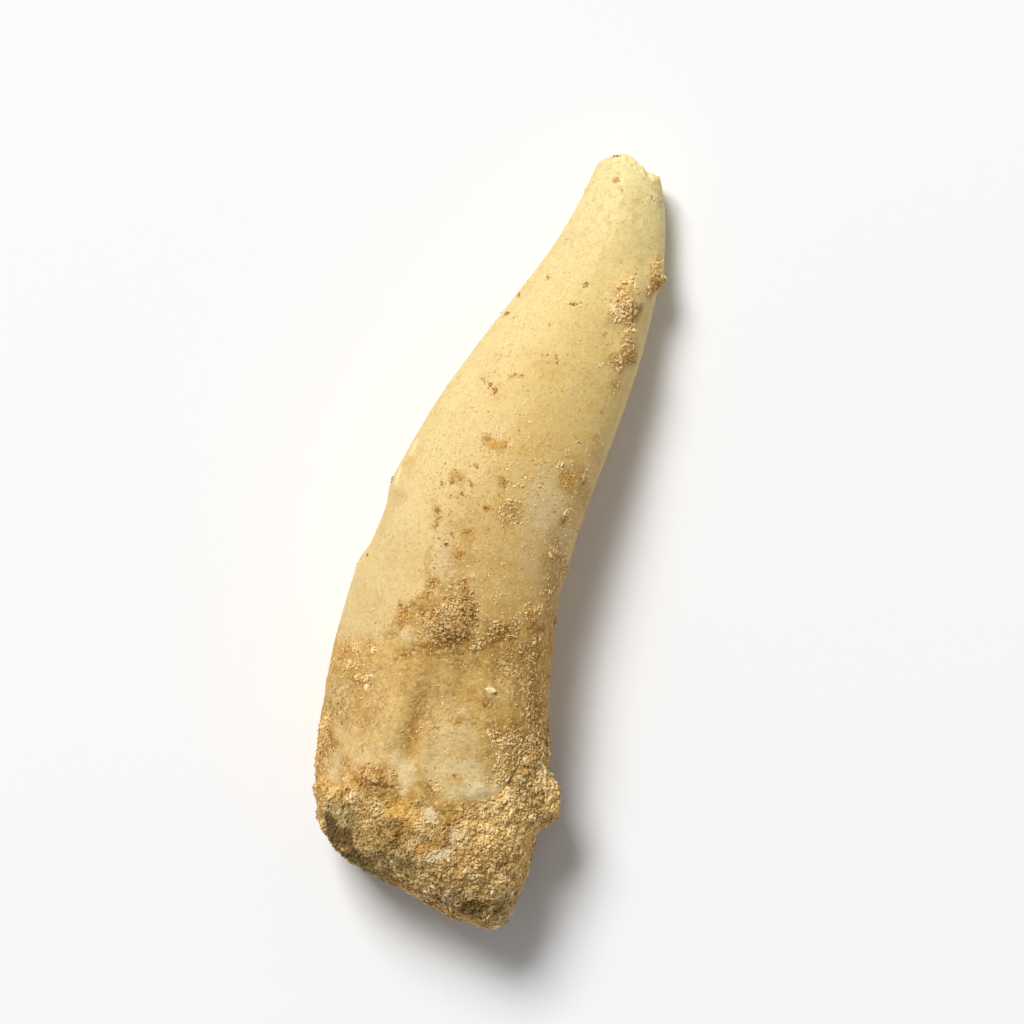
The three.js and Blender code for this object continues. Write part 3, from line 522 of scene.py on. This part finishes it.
def make_tooth():
    y, u, v = tooth_rows()
    x, z, nx, nz = on_section(y, u, v)
    below = rim_line(ANGLES) - y
    inset = ROOT_INSET * smooth(below / INSET_RAMP)
    above = smooth((v + 0.15) / 0.5)
    chipped = smooth((-u - 1 + EDGE_CHIP["across"]) / EDGE_CHIP["across"])
    chip = EDGE_CHIP["depth"] * chipped * bell((y - EDGE_CHIP["y"]) / EDGE_CHIP["half_length"], 4)
    relief = above * relief_of(TOP_FORMS + FINE_FORMS, x, y) + (1 - above) * relief_of(UNDER_FORMS, x, y) - chip
    push = (relief * (1 - inset / ROOT_INSET) - inset) * np.minimum(1, np.hypot(u, v))
    rows = np.stack([x + nx * push, y, np.maximum(z + nz * push, inset)], -1)

    # What lies where on the skin.
    wx, wy = warped(rows)
    frayed = 0.35 * noise(rows, 0.3, 21) + 0.3 * noise(rows, 0.14, 22)
    on_top = smooth((v + 0.35) / 0.5)
    root = smooth((enamel_end(wx) - wy + 0.5 * noise(rows, 0.9, 5)) / 1.9 + 0.42)
    # The brown patches hold painted shadows and shade as well as stains, and the cream ones hold painted light as well
    # as cream bone.
    brown, orange, pale, cream, grey, specks = (
        cover(patches, wx, wy, frayed * share, soft) * on_top for patches, share, soft in (
            (BROWN, 0.6, 1.2), (ORANGE, 0.6, 1.0), (PALE, 0.7, 1.2), (CREAM, 1.0, 2.1), (GREY, 1, 1.2),
            (SPECKS, 0.8, 0.8)))
    brown = np.maximum(brown, 0.7 * under_dirt(rows, y) * (1 - on_top))
    crack, along = line_distance(CRACK, wx, wy)
    split = bell(crack / 0.05) * on_top * (0.15 + 0.45 * along)
    flaked = bell((crack - 0.12) / 0.13) * smooth((along - 0.5) / 0.3) * on_top * smooth(noise(rows, 0.25, 41) + 0.5)
    arc = bell(line_distance(ARC, wx, wy)[0] / 0.045) * on_top
    ochre = smooth((-u - 0.78) / 0.16) * on_top * smooth((y - CROWN_START) / 3) * (0.55 + 0.45 * noise(rows, 0.7, 51))

    # Finer relief than the solid's. Long grooves and ribs in the bony base run along the fang.
    grooved = np.stack([x + 0.25 * y, y * 0.16, z], -1)
    flutes = noise(grooved, 0.62, 8) + 0.6 * noise(grooved, 0.3, 9)
    fine = (root * (0.035 * flutes + 0.05 * rough(rows, 0.7, 3, 12)) + (1 - root) * 0.016 * rough(rows, 1.1, 3, 14)
            + np.maximum(0.4 * brown, 0.3 * root) * (0.05 * rough(rows, 0.3, 2, 16) + 0.06 * noise(rows, 0.5, 17))
            + 0.05 * flaked + 0.01 * noise(rows, 0.22, 18) - 0.03 * specks - 0.06 * split - 0.025 * arc)
    cap = smooth((np.arange(len(x)) - len(x) + TIP_ROWS + 3) / 4)[:, None] * np.ones(x.shape)
    fine = fine * smooth(-below / 0.6) * (1 - cap) + cap * 0.06 * rough(rows, 0.4, 2, 61)

    ends = on_end(root_break(0.0), ROOT_INSET), on_end(tip_surface(np.zeros(1), np.zeros(1))[0])
    painted = {"root": root, "brown": brown, "orange": orange, "pale": np.maximum(pale, 0.9 * flaked), "grey": grey,
               "cream": cream, "pit": np.maximum.reduce([0.5 * specks, 0.8 * split, 0.6 * arc]), "ochre": ochre,
               "dotted": np.minimum(haze(DOTTED, wx, wy) * on_top, 1), "across": u,
               "rise": (y - CROWN_START) / CROWN_LENGTH,
               "line": sum(bell(line_distance(line, x, y)[0] / 0.07) for line in EDGE_LINES) * on_top}
    return grid_mesh("fang", rows, ends, fine, painted, -1, x=wx, y=wy, top=on_top, below=below, v=v, orange=orange)


# ---------------------------------------------------------------- the matrix

MATRIX_AROUND, BASE_ROWS, SIDE_ROWS = 260, 40, 96


def crust_surface(u, v):
    return crust_base(u) + END_DOME["crust"] * np.abs(v) ** 3


def make_crust():
    angle = np.linspace(0, 2 * math.pi, MATRIX_AROUND, endpoint=False)
    u1, v1 = section(angle)
    wobble = np.stack([np.cos(angle) * 3, np.sin(angle) * 3, 0 * angle], -1)
    rim = rim_line(angle) + 0.3 * noise(wobble, 0.7, 71) + 0.15 * noise(wobble, 0.3, 72)
    rows = end_rows(crust_surface, u1, v1, np.linspace(0.04, 0.97, BASE_ROWS))
    rows += [(lerp(crust_surface(u1, v1), rim, t), u1, v1) for t in np.linspace(0, 1, SIDE_ROWS)]
    rows += [(rim + above, u1, v1) for above in (0.2, 0.45, 0.8)]
    y, u, v = (np.array(part) for part in zip(*rows))
    x, z, nx, nz = on_section(y, u, v)
    below = rim - y
    k = CRUST_KNOB
    far = ((x - k["x"]) / k["across"]) ** 2 + ((y - k["y"]) / k["along"]) ** 4 + ((z - k["z"]) / k["tall"]) ** 2
    place = np.stack([x, y, z], -1)
    lumps = 0.05 * rough(place, 1.4, 2, 81) + 0.055 * noise(place, 0.55, 83)
    forms = np.where(v > -0.1, relief_of(CRUST_FORMS, x, y), 0)
    push = (k["height"] - 0.1) * np.exp(-far) + smooth((below + 0.1) / 0.7) * (
        CRUST_PROUD - 0.2 + 0.08 * smooth(below / 2) + lumps * smooth(below / 1.2) + forms)
    push = push - 0.15 * bell(v / 0.5) * smooth((-17.3 - y) / 1.2)
    push = (push - 0.5 * smooth(-below / 0.8)) * np.minimum(1, np.hypot(u, v))
    place = np.stack([x + nx * push, y, np.maximum(z + nz * push, 0)], -1)
    fine = (0.055 * noise(place, 0.32, 85) + 0.02 * noise(place, 0.15, 86)) * smooth(place[..., 2] / 0.3)
    wx, wy = warped(place)
    on_top = smooth((v + 0.15) / 0.4)
    frayed = 0.5 * noise(place, 0.6, 91) + 0.25 * noise(place, 0.25, 92)
    # Painted shade: the low places between the lumps are darkened, and the whole underside is made olive and brown. The
    # olive, dark and golden patches bring their painted light and shade as well.
    marked = {"deep": smooth(0.5 - (lumps + fine) / 0.12), "bare": cover(BARE, wx, wy) * on_top,
              "olive": np.maximum(cover(OLIVE, wx, wy, frayed) * on_top, 0.7 * (1 - on_top)),
              "orange": cover(ORANGE, wx, wy, 0.6 * frayed) * on_top,
              "brown": np.maximum(cover(BROWN + DARK_SHADE, wx, wy, 0.7 * frayed, 1.2) * on_top, 0.6 * (1 - on_top)),
              "gold": cover(GOLD, wx, wy, frayed, 1.4) * on_top}
    ends = on_end(crust_surface(np.zeros(1), np.zeros(1))[0]), on_end(RIM_FLAT)
    return grid_mesh("matrix", place, ends, fine, marked, 1, x=wx, y=wy, below=below,
                     thin=cover(THIN, wx, wy, 0.5 * frayed) * on_top, **marked)


# ---------------------------------------------------------------- sand

GRAIN, SLIVER = 0.077, 0.0215  # usual radius of a sand grain and of a sliver
CRUST_GRAINS, UPPER_GRAINS = 42000, 9000  # tried on the matrix: those that cover it and a looser second layer
SAND_DENSITY, SLIVER_DENSITY = 105, 3.9  # a square mm, for grains of size 1 at full cover and slivers at strength 1


def icosahedron():
    g = (1 + 5 ** 0.5) / 2
    points = np.array([(-1, g, 0), (1, g, 0), (-1, -g, 0), (1, -g, 0), (0, -1, g), (0, 1, g), (0, -1, -g), (0, 1, -g),
                       (g, 0, -1), (g, 0, 1), (-g, 0, -1), (-g, 0, 1)], float)
    faces = np.array([(0, 11, 5), (0, 5, 1), (0, 1, 7), (0, 7, 10), (0, 10, 11), (1, 5, 9), (5, 11, 4), (11, 10, 2),
                      (10, 7, 6), (7, 1, 8), (3, 9, 4), (3, 4, 2), (3, 2, 6), (3, 6, 8), (3, 8, 9), (4, 9, 5),
                      (2, 4, 11), (6, 2, 10), (8, 6, 7), (9, 8, 1)])
    return points / np.linalg.norm(points[0]), faces


def scatter(weights, many):
    """Indices of points, drawn by weight."""
    total = np.cumsum(weights)
    return np.searchsorted(total, RNG.random(many) * total[-1])


def grain_sizes(size, many):
    """Radii spread round a size, without the odd giant."""
    return size * np.exp(np.clip(RNG.normal(0, 0.3, many), -0.6, 0.5))


def strewn(skin, weights, many, size, lift):
    """Grains on a skin: the points that they lie at, their radii and their middles."""
    picks = scatter(weights, many)
    radii = grain_sizes(size, many)
    loose = skin.points[picks] + RNG.normal(0, 0.03, (many, 3))
    return picks, radii, loose + skin.normals[picks] * (radii * lift)[:, None]


def spaced(share, picks, radii, places, *more):
    """Drops each grain that lies closer to an earlier one than share times their radii added up."""
    grid, kept = {}, []
    for n, (a, b, c) in enumerate(np.floor(places / (2 * radii.max())).astype(int).tolist()):
        near = [m for i in (a - 1, a, a + 1) for j in (b - 1, b, b + 1) for k in (c - 1, c, c + 1)
                for m in grid.get((i, j, k), ())]
        if near:
            gap = np.linalg.norm(places[near] - places[n], axis=1)
            if (gap < share * (radii[near] + radii[n])).any():
                continue
        grid.setdefault((a, b, c), []).append(n)
        kept.append(n)
    return [part[kept] for part in (picks, radii, places, *more)]


def clumped(places):
    """How much lighter or darker than the rest the grains near a place are."""
    return 0.22 * noise(places, 0.9, 121) + 0.25 * noise(places, 0.4, 122) + 0.15 * noise(places, 0.2, 123)


def make_grains(name, radii, places, normals, slim=1.0, flat=1.0, **fields):
    """One mesh of angular crumbs that lie flat on the surface.

    `slim` above 1 draws them out, `flat` below 1 thins them. A field that isn't given is 0 to the material."""
    base, faces = icosahedron()
    many = len(places)
    shape = base[None] * (1 + RNG.uniform(-0.32, 0.32, (many, 12, 1)))
    stretch = RNG.uniform((0.95, 0.6, 0.5), (1.7, 1.0, 0.85), (many, 3)) * (slim, 1, flat)
    tilted = normals + RNG.normal(0, 0.3, (many, 3))
    tilted /= np.linalg.norm(tilted, axis=1, keepdims=True)
    along = np.cross(tilted, RNG.normal(size=(many, 3)))
    along /= np.linalg.norm(along, axis=1, keepdims=True)
    turn = np.stack([along, np.cross(tilted, along), tilted], 1)
    points = np.einsum("nkj,nji->nki", shape * stretch[:, None], turn) * radii[:, None, None] + places[:, None]
    points[..., 2] = np.maximum(points[..., 2], 0.0)
    triangles = (faces[None] + 12 * np.arange(many)[:, None, None]).reshape(-1, 3)
    fields = {field: np.repeat(np.broadcast_to(f, many), 12) for field, f in fields.items()}
    return make_mesh(name, points.reshape(-1, 3), triangles.tolist(), False, fields)


def crust_sand(crust):
    """Grains over the whole matrix, thinning out a little above its rim."""
    ragged = 0.5 * noise(crust.points, 0.4, 111)
    open_to_sand = (1 - crust.bare) * (1 - crust.thin) * smooth((crust.below + 0.2 + ragged) / 0.8)
    made = []
    for many, size, share, lift, weight in (
            (CRUST_GRAINS, GRAIN, 0.55, -0.1, open_to_sand),
            (UPPER_GRAINS, GRAIN * 1.15, 0.6, 0.4, open_to_sand * (1 - crust.deep))):
        made.append(spaced(share, *strewn(crust, crust.areas * weight, many, size, lift)))
    picks, radii, places = (np.concatenate(parts) for parts in zip(*made))
    fields = {name: getattr(crust, name)[picks] for name in ("deep", "olive", "orange", "brown", "gold")}
    fields["pale"] = cover(BARE, crust.x[picks], crust.y[picks], 0.6)
    # Grains in the low places are made darker: painted shade.
    fields["tone"] = np.clip(RNG.normal(0.5, 0.15, len(picks)) - 0.3 * (fields["deep"] - 0.5) + clumped(places), 0, 1)
    return [make_grains(f"matrix_sand_{part}", radii[h], places[h], crust.normals[picks[h]],
                        **{name: f[h] for name, f in fields.items()})
            for part, h in zip("abcd", np.array_split(np.arange(len(picks)), 4))]


def tooth_sand(fang):
    """Crumbs, the sand that thins out from the matrix up the fang's back, and the grains of stains and specks."""
    x, y, top = fang.x, fang.y, fang.top
    frayed = 0.4 * noise(fang.points, 0.4, 101) + 0.3 * noise(fang.points, 0.18, 102)
    seen = smooth(-fang.below / 0.1)
    clumps = 0.3 + 0.7 * smooth((noise(fang.points, 0.42, 103) + 0.4) / 0.7)
    rim = smooth((0.5 + fang.below + 0.6 * frayed) / 0.8) * 0.7
    back = smooth((x - 3.2 - 0.2 * (y + 12)) / 1.2 + 0.8 * frayed) * smooth((-8.8 - y) / 2)
    back = back * smooth((fang.v + 0.6) / 0.4)
    under = (1 - top) * under_dirt(fang.points, y) * 0.6
    # Zones of sand as (cover, grain size, brightness, layers, how dark a speck it is).
    loose = [(np.maximum.reduce([rim, back * 0.8, under]), 1.0, 0.0, 1, 0)]
    loose += [(cover([p], x, y, frayed) * top * clumps, *p[6:9], 0) for p in SAND_PATCHES]
    loose += [(0.15 * bell(reach(p, x, y) / 1.8, 4) * top, 0.5, 0, 1, 0) for p in SAND_PATCHES]
    stains = [(cover([p], x, y, frayed, 0.6) * top, 0.45, 0, 1, p[5]) for p in SPECKS]
    stains += [(cover([p], x, y, frayed, 1.0) * top * clumps * 0.55, 0.5, 0.2, 1, 0) for p in ORANGE if p[5] > 0.44]
    made = []
    for name, zones, sunk in (("fang_sand", loose, 0.0), ("fang_stains", stains, -0.35)):
        parts = []
        for covered, size, bright, layers, dark in zones:
            weight = covered ** 1.5 * seen * fang.areas
            for layer in range(layers):
                many = int(weight.sum() * SAND_DENSITY / size ** 2 / (1 + layer)) + 2
                grains = strewn(fang, weight, many, GRAIN * size, sunk + layer * 0.8)
                tone = np.clip(RNG.normal(0.5 + bright, 0.16, many) + clumped(grains[2]), 0, 1)
                parts.append([*grains, tone, np.full(many, dark)])
        picks, radii, places, tone, dark = spaced(0.48, *(np.concatenate(part) for part in zip(*parts)))
        orange = np.where(dark > 0, 0, 1) if zones is stains else fang.orange[picks] * 0.7
        # Each grain on the fang gets the low places' painted shade at a fixed 0.3, and the brown patches under it,
        # painted shadows among them.
        made.append(make_grains(name, radii, places, fang.normals[picks], tone=tone, deep=0.3, dark=dark, gold=0.5,
                                olive=cover(OLIVE, x[picks], y[picks]) * 0.7, orange=orange,
                                brown=cover(BROWN, x[picks], y[picks]) * top[picks] * 0.6))
    return made


def slivers(fang):
    """Fine loose slivers, most of them light."""
    seen = fang.top * smooth(-fang.below / 0.1)
    weight = (haze(SPECKLE, fang.x, fang.y) * seen + 0.1 * seen) * fang.areas
    many = int(weight.sum() * SLIVER_DENSITY)
    picks = scatter(weight, many)
    radii = grain_sizes(SLIVER, many) * np.where(RNG.random(many) < 0.12, 1.5, 1)
    normals = fang.normals[picks]
    places = fang.points[picks] + RNG.normal(0, 0.04, (many, 3)) * (1, 1, 0.2) + normals * (radii * 0.15)[:, None]
    light = RNG.uniform(0.68, 0.95, many) - 0.22 * smooth((-4 - fang.y[picks]) / 2)
    tone = np.where(RNG.random(many) < 0.82, light, RNG.uniform(0, 0.35, many))
    return make_grains("fang_slivers", radii, places, normals, 1.8, tone=tone, gold=0.3)


def flakes(points, normals):
    """A few single flakes, larger than the sand, each on the highest point near its place."""
    x, y, radii, tone = np.array(FLAKES).T
    near = [np.flatnonzero(np.hypot(points[:, 0] - a, points[:, 1] - b) < 0.15) for a, b in zip(x, y)]
    picks = np.array([n[np.argmax(points[n, 2])] for n in near])
    return make_grains("flakes", radii, points[picks], normals[picks], 1.1, 0.4, tone=tone, pale=0.3)


# ---------------------------------------------------------------- materials


def linear(*rgb):
    """A colour given as 0 to 255 screen values, as the shader wants it."""
    return tuple((c / 255 / 12.92 if c <= 10 else ((c / 255 + 0.055) / 1.055) ** 2.4) for c in rgb) + (1.0,)


class Shader:
    """Writes nodes of a material or world. A name in place of a number means what was painted under that name."""

    def __init__(self, owner, surface):
        owner.use_nodes = True
        self.owner, self.tree = owner, owner.node_tree
        self.surface = self.tree.nodes[surface].inputs
        self.colour = None

    def node(self, kind, inputs=(), **settings):
        made = self.tree.nodes.new("ShaderNode" + kind)
        for key, value in settings.items():
            setattr(made, key, value)
        for key, value in dict(inputs).items():
            self.put(made.inputs[key], value)
        return made

    def put(self, socket, value):
        if isinstance(value, str):
            value = self.node("Attribute", attribute_name=value).outputs["Fac"]
        if isinstance(value, bpy.types.NodeSocket):
            self.tree.links.new(value, socket)
        else:
            socket.default_value = value

    def scaled(self, size, stretch=(1, 1, 1)):
        scale = [s / (size * MM) for s in stretch]
        place = self.node("TexCoord").outputs["Object"]
        return self.node("Mapping", {"Vector": place, "Scale": scale}).outputs["Vector"]

    def noise(self, size, detail=3, rough=0.55, stretch=(1, 1, 1)):
        """Noise with lumps of about `size` mm."""
        inputs = {"Vector": self.scaled(size, stretch), "Scale": 1.0, "Detail": detail, "Roughness": rough}
        return self.node("TexNoise", inputs).outputs["Fac"]

    def cells(self, size):
        """Grains of about `size` mm: how far a place is from its grain's middle, and each grain's own number."""
        made = self.node("TexVoronoi", {"Vector": self.scaled(size), "Scale": 1.0})
        return made.outputs["Distance"], self.node("SeparateColor", {0: made.outputs["Color"]}).outputs[0]

    def maths(self, operation, a, b, clamp=False):
        return self.node("Math", {0: a, 1: b}, operation=operation, use_clamp=clamp).outputs[0]

    def times(self, a, b, clamp=False):
        return self.maths("MULTIPLY", a, b, clamp)

    def frayed(self, value, ragged, amount):
        """A field with noise from 0 to 1 added round its own value."""
        return self.maths("ADD", value, self.times(self.maths("SUBTRACT", ragged, 0.5), amount))

    def span(self, value, low, high, to_low=0.0, to_high=1.0):
        """Leads a range of the value over smoothly to another range."""
        inputs = dict(enumerate((value, low, high, to_low, to_high)))
        return self.node("MapRange", inputs, interpolation_type="SMOOTHSTEP").outputs["Result"]

    def mix(self, share, a, b):
        return self.node("Mix", {0: share, 6: a, 7: b}, data_type="RGBA").outputs[2]

    def ramp(self, value, *stops):
        """A colour from stops of (value, red, green, blue)."""
        made = self.node("ValToRGB", {0: value})
        ends = made.color_ramp.elements
        while len(ends) < len(stops):
            ends.new(0.5)
        for end, (place, *rgb) in zip(ends, stops):
            end.position = place
            end.color = linear(*rgb)
        return made.outputs["Color"]

    def tint(self, share, *rgb):
        """Paints over the colour so far."""
        self.colour = self.mix(share, self.colour, linear(*rgb))

    def bump(self, height, depth, strength):
        """`height` from 0 to 1 stands for `depth` mm, downwards where that is below 0."""
        inputs = {"Strength": strength, "Distance": abs(depth) * MM, "Height": height}
        if self.surface["Normal"].is_linked:
            inputs["Normal"] = self.surface["Normal"].links[0].from_socket
        self.put(self.surface["Normal"], self.node("Bump", inputs, invert=depth < 0).outputs["Normal"])

    def finished(self, roughness, specular):
        """The material, with the colour so far."""
        for name, value in (("Base Color", self.colour), ("Roughness", roughness), ("Specular IOR Level", specular)):
            self.put(self.surface[name], value)
        return self.owner


def new_material(name):
    return Shader(bpy.data.materials.new(name), "Principled BSDF")


def tooth_material():
    s = new_material("fang_enamel_and_bone")
    mid, small, dust = s.noise(1.3, 4), s.noise(0.4, 4, 0.6), s.noise(0.12, 3, 0.65)
    grit, tint = s.cells(0.16)

    # The bony base.
    s.colour = s.mix(s.span(mid, 0.36, 0.62), linear(194, 150, 74), linear(215, 175, 99))
    s.tint(s.span(s.noise(0.6, 4, 0.6, (1, 0.25, 1)), 0.45, 0.7, 0, 0.5), 182, 136, 60)
    s.tint(s.span(small, 0.48, 0.72, 0, 0.45), 234, 197, 122)
    bone = s.colour

    # The enamel, lightest at the tip, with painted light and shade across it, and where it gives way to bone.
    s.colour = s.ramp(s.frayed("rise", s.noise(4.5, 3), 0.2), (0, 208, 168, 96), (0.3, 221, 184, 112),
                      (0.6, 226, 195, 120), (0.85, 233, 208, 138), (0.98, 247, 231, 164))
    # Painted light and shade across the fang: the cutting-edge side, which faces the light, is made paler and less
    # yellow as a painted sheen, and the back side below the upper crown is made darker and browner as painted shade.
    s.tint(s.span("across", -0.1, -0.7, 0, 0.6), 223, 204, 150)
    s.tint(s.times(s.span("across", 0.3, 1, 0, 0.5), s.span("rise", 0.55, 0.3)), 204, 160, 84)
    worn = s.span("rise", 0.95, 0.55, 0.3, 1)
    s.tint(s.times(s.span(mid, 0.46, 0.75, 0, 0.45), worn), 214, 168, 98)
    s.tint(s.times(s.span(small, 0.5, 0.72, 0, 0.6), worn), 243, 222, 162)
    s.tint(s.times(s.frayed("ochre", small, 0.5), 0.3, True), 210, 174, 96)
    worms = s.times(s.span(s.noise(0.17, 2, 0.5, (1, 0.55, 1)), 0.56, 0.68), s.span(s.noise(1.6), 0.42, 0.62, 0.1, 0.5))
    s.tint(s.times(worms, worn), 186, 148, 74)
    s.colour = s.mix(s.span(s.frayed("root", small, 1.1), 0, 1), s.colour, bone)

    # Stains, dots and pits, with the painted light and shade that the brown and cream patches and the edge lines hold.
    s.tint(s.times("grey", 0.7), 230, 210, 162)
    # Cream bone, made lighter still as painted light on the slope above the matrix.
    s.tint(s.times(s.frayed("cream", small, 0.8), 0.88, True), 253, 236, 186)
    s.tint(s.times(s.frayed("pale", small, 0.8), 0.8, True), 232, 206, 152)
    # Brown stains, with the painted shadows and shade among the brown patches, darkest where they are strongest.
    s.tint(s.times(s.frayed("brown", small, 0.9), 0.85, True), 148, 98, 28)
    s.tint(s.span(s.frayed("brown", small, 0.6), 0.75, 1.1, 0, 0.6), 118, 74, 14)
    s.tint(s.times(s.frayed("orange", small, 0.9), 0.9, True), 196, 138, 22)
    # Pale lines on the cutting edge: the flaked edge, made lighter still as a painted highlight.
    s.tint(s.times("line", 0.6), 255, 240, 176)
    ground = s.maths("ADD", s.times("root", 0.16), s.times("brown", 0.5), True)
    s.tint(s.times(s.span(tint, 0.35, 0), ground), 124, 78, 22)
    s.tint(s.times(s.span(tint, 0.72, 1), ground), 252, 226, 160)
    s.tint(s.span(dust, 0.53, 0.7, 0, 0.4), 178, 130, 54)
    s.tint(s.span(dust, 0.46, 0.28, 0, 0.32), 253, 236, 184)
    far, number = s.cells(0.2)
    crowd = s.frayed(s.times("dotted", 0.7), s.noise(0.7), 1.5)
    there = s.times(s.span(s.maths("ADD", number, crowd), 0.98, 1.2), s.span("dotted", 0, 0.1))
    dots = s.times(s.span(s.frayed(far, s.noise(0.07, 2), 0.7), 0.4, 0.15), there)
    s.tint(s.times(dots, 0.55), 170, 118, 42)
    s.tint(s.span(s.frayed("pit", dust, 0.9), 0.3, 0.95, 0, 0.85), 132, 84, 22)
    for height, depth, strength in ((mid, 0.06, 0.5), (small, 0.06, 0.6), (dust, 0.02, 0.7),
                                    (s.times(grit, ground), -0.09, 0.9), (dots, -0.01, 0.6)):
        s.bump(height, depth, strength)
    return s.finished(s.span(s.maths("ADD", "root", "brown"), 0, 1.2, 0.46, 0.85), 0.2)


def matrix_material():
    s = new_material("matrix_cement")
    small = s.noise(0.22, 4, 0.65)
    grit, tint = s.cells(0.15)
    s.colour = s.mix(s.span(s.noise(0.9, 4), 0.35, 0.65), linear(196, 158, 88), linear(226, 192, 116))
    # Colours of the patches: the golden ones are partly painted light, the olive ones partly painted shade, the
    # darkening of low places is painted shade, and the brown ones hold painted shade besides stains.
    for name, share, *rgb in (("gold", 1, 240, 196, 118), ("olive", 0.85, 140, 121, 74), ("deep", 0.25, 126, 92, 36),
                              ("brown", 0.7, 118, 86, 38), ("orange", 0.6, 224, 172, 76)):
        s.tint(s.times(name, share), *rgb)
    s.tint(s.span(tint, 0.35, 0, 0, 0.4), 122, 88, 34)
    s.tint(s.span(tint, 0.6, 1, 0, 0.5), 248, 222, 156)
    s.tint(s.span(s.frayed("bare", small, 0.9), 0.25, 0.9), 236, 212, 164)
    s.bump(small, 0.06, 0.9)
    s.bump(grit, -0.06, 0.9)
    return s.finished(0.9, 0.05)


def sand_material():
    s = new_material("phosphate_sand")
    small = s.noise(0.12, 3, 0.6)
    s.colour = s.ramp(s.frayed("tone", small, 0.2), (0, 148, 106, 46), (0.25, 202, 162, 96), (0.5, 236, 201, 135),
                      (0.75, 250, 222, 160), (1, 255, 238, 194))
    # Each grain takes the painted light and shade of the patches under it: golden light, brown and olive shade, a
    # darker tint where olive meets brown, and the shade of low places.
    for name, share, *rgb in (("gold", 0.55, 255, 220, 148), ("brown", 0.7, 164, 112, 36),
                              ("orange", 0.6, 216, 162, 62), ("pale", 0.55, 250, 236, 198)):
        s.tint(s.times(name, share), *rgb)
    s.tint(s.times("olive", s.span("tone", 0.5, 1, 0.8, 0.45)), 148, 130, 82)
    s.tint(s.span(s.times("olive", "brown"), 0.4, 0.7), 104, 84, 48)
    s.tint(s.times("deep", 0.2), 160, 120, 54)
    s.colour = s.mix("dark", s.colour, s.ramp("tone", (0, 130, 88, 24), (1, 202, 152, 68)))
    s.bump(small, 0.02, 0.5)
    return s.finished(0.6, 0.15)


# ---------------------------------------------------------------- put together

fang, matrix = make_tooth(), make_crust()
sand = [*crust_sand(matrix), *tooth_sand(fang), slivers(fang),
        flakes(np.vstack([fang.points, matrix.points]), np.vstack([fang.normals, matrix.normals]))]

for piece, node, slot, material in ((fang.piece, "tooth", "tooth", tooth_material()),
                                    (matrix.piece, "matrix_crust", "matrix", matrix_material())):
    piece.data.materials.append(material)
    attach(piece, "root")
    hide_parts(node)
grain_material = sand_material()
for piece in sand:
    piece.data.materials.append(grain_material)
    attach(piece, "root")

# ---------------------------------------------------------------- floor, light and camera

bpy.ops.mesh.primitive_plane_add(size=3.0, location=(0, 0, 0))
floor = bpy.context.object
floor.name = "floor"
white = new_material("floor_white")
white.colour = (0.97, 0.97, 0.97, 1)
floor.data.materials.append(white.finished(0.9, 0.1))

TURN = math.radians(LEAN)
right, up = Vector((math.cos(TURN), math.sin(TURN), 0)), Vector((-math.sin(TURN), math.cos(TURN), 0))

# The key light stands to the upper left of the picture, 50 degrees above the floor, and shines at the specimen.
KEY_ROUND, KEY_RISE, KEY_DISTANCE = math.radians(120), math.radians(50), 1.8
key = bpy.data.lights.new("key", "AREA")
key.shape, key.size, key.energy = "SQUARE", 0.7, 32.0
towards = (right * math.cos(KEY_ROUND) + up * math.sin(KEY_ROUND) + Vector((0, 0, math.tan(KEY_RISE)))).normalized()
light = link("key", key)
light.location = towards * KEY_DISTANCE
light.rotation_euler = towards.to_track_quat("Z", "Y").to_euler()

# A pale sweep at the horizon, darker overhead so that the key light gives the shape.
bpy.context.scene.world = bpy.data.worlds.new("studio")
sky = Shader(bpy.context.scene.world, "Background")
height = sky.node("SeparateXYZ", {0: sky.node("TexCoord").outputs["Generated"]}).outputs["Z"]
sky.put(sky.surface["Strength"], sky.span(height, 0.08, 0.3, 0.95, 0.22))
sky.put(sky.surface["Color"], (1, 1, 1, 1))
bpy.context.scene.view_settings.view_transform = "Standard"

# Looks straight down, turned so that the fang leans as it does on the table, root towards the lower left.
PICTURE, PER_MM = 1024, 19.5  # width of the picture in pixels, and pixels per mm at the height PLANE
PLANE, FOCAL, SENSOR = 3.5 * MM, 200.0, 36.0
MIDDLE = right * 3.7 + up * 12.3  # of the picture, in pixels from the origin
camera_data = bpy.data.cameras.new("camera")
camera_data.lens, camera_data.sensor_width = FOCAL, SENSOR
camera_data.clip_start = 0.01
camera = link("camera", camera_data)
camera.location = MIDDLE / PER_MM * MM + Vector((0, 0, PLANE + PICTURE / PER_MM * MM * FOCAL / SENSOR))
camera.rotation_euler = (0, 0, TURN)
bpy.context.scene.camera = camera
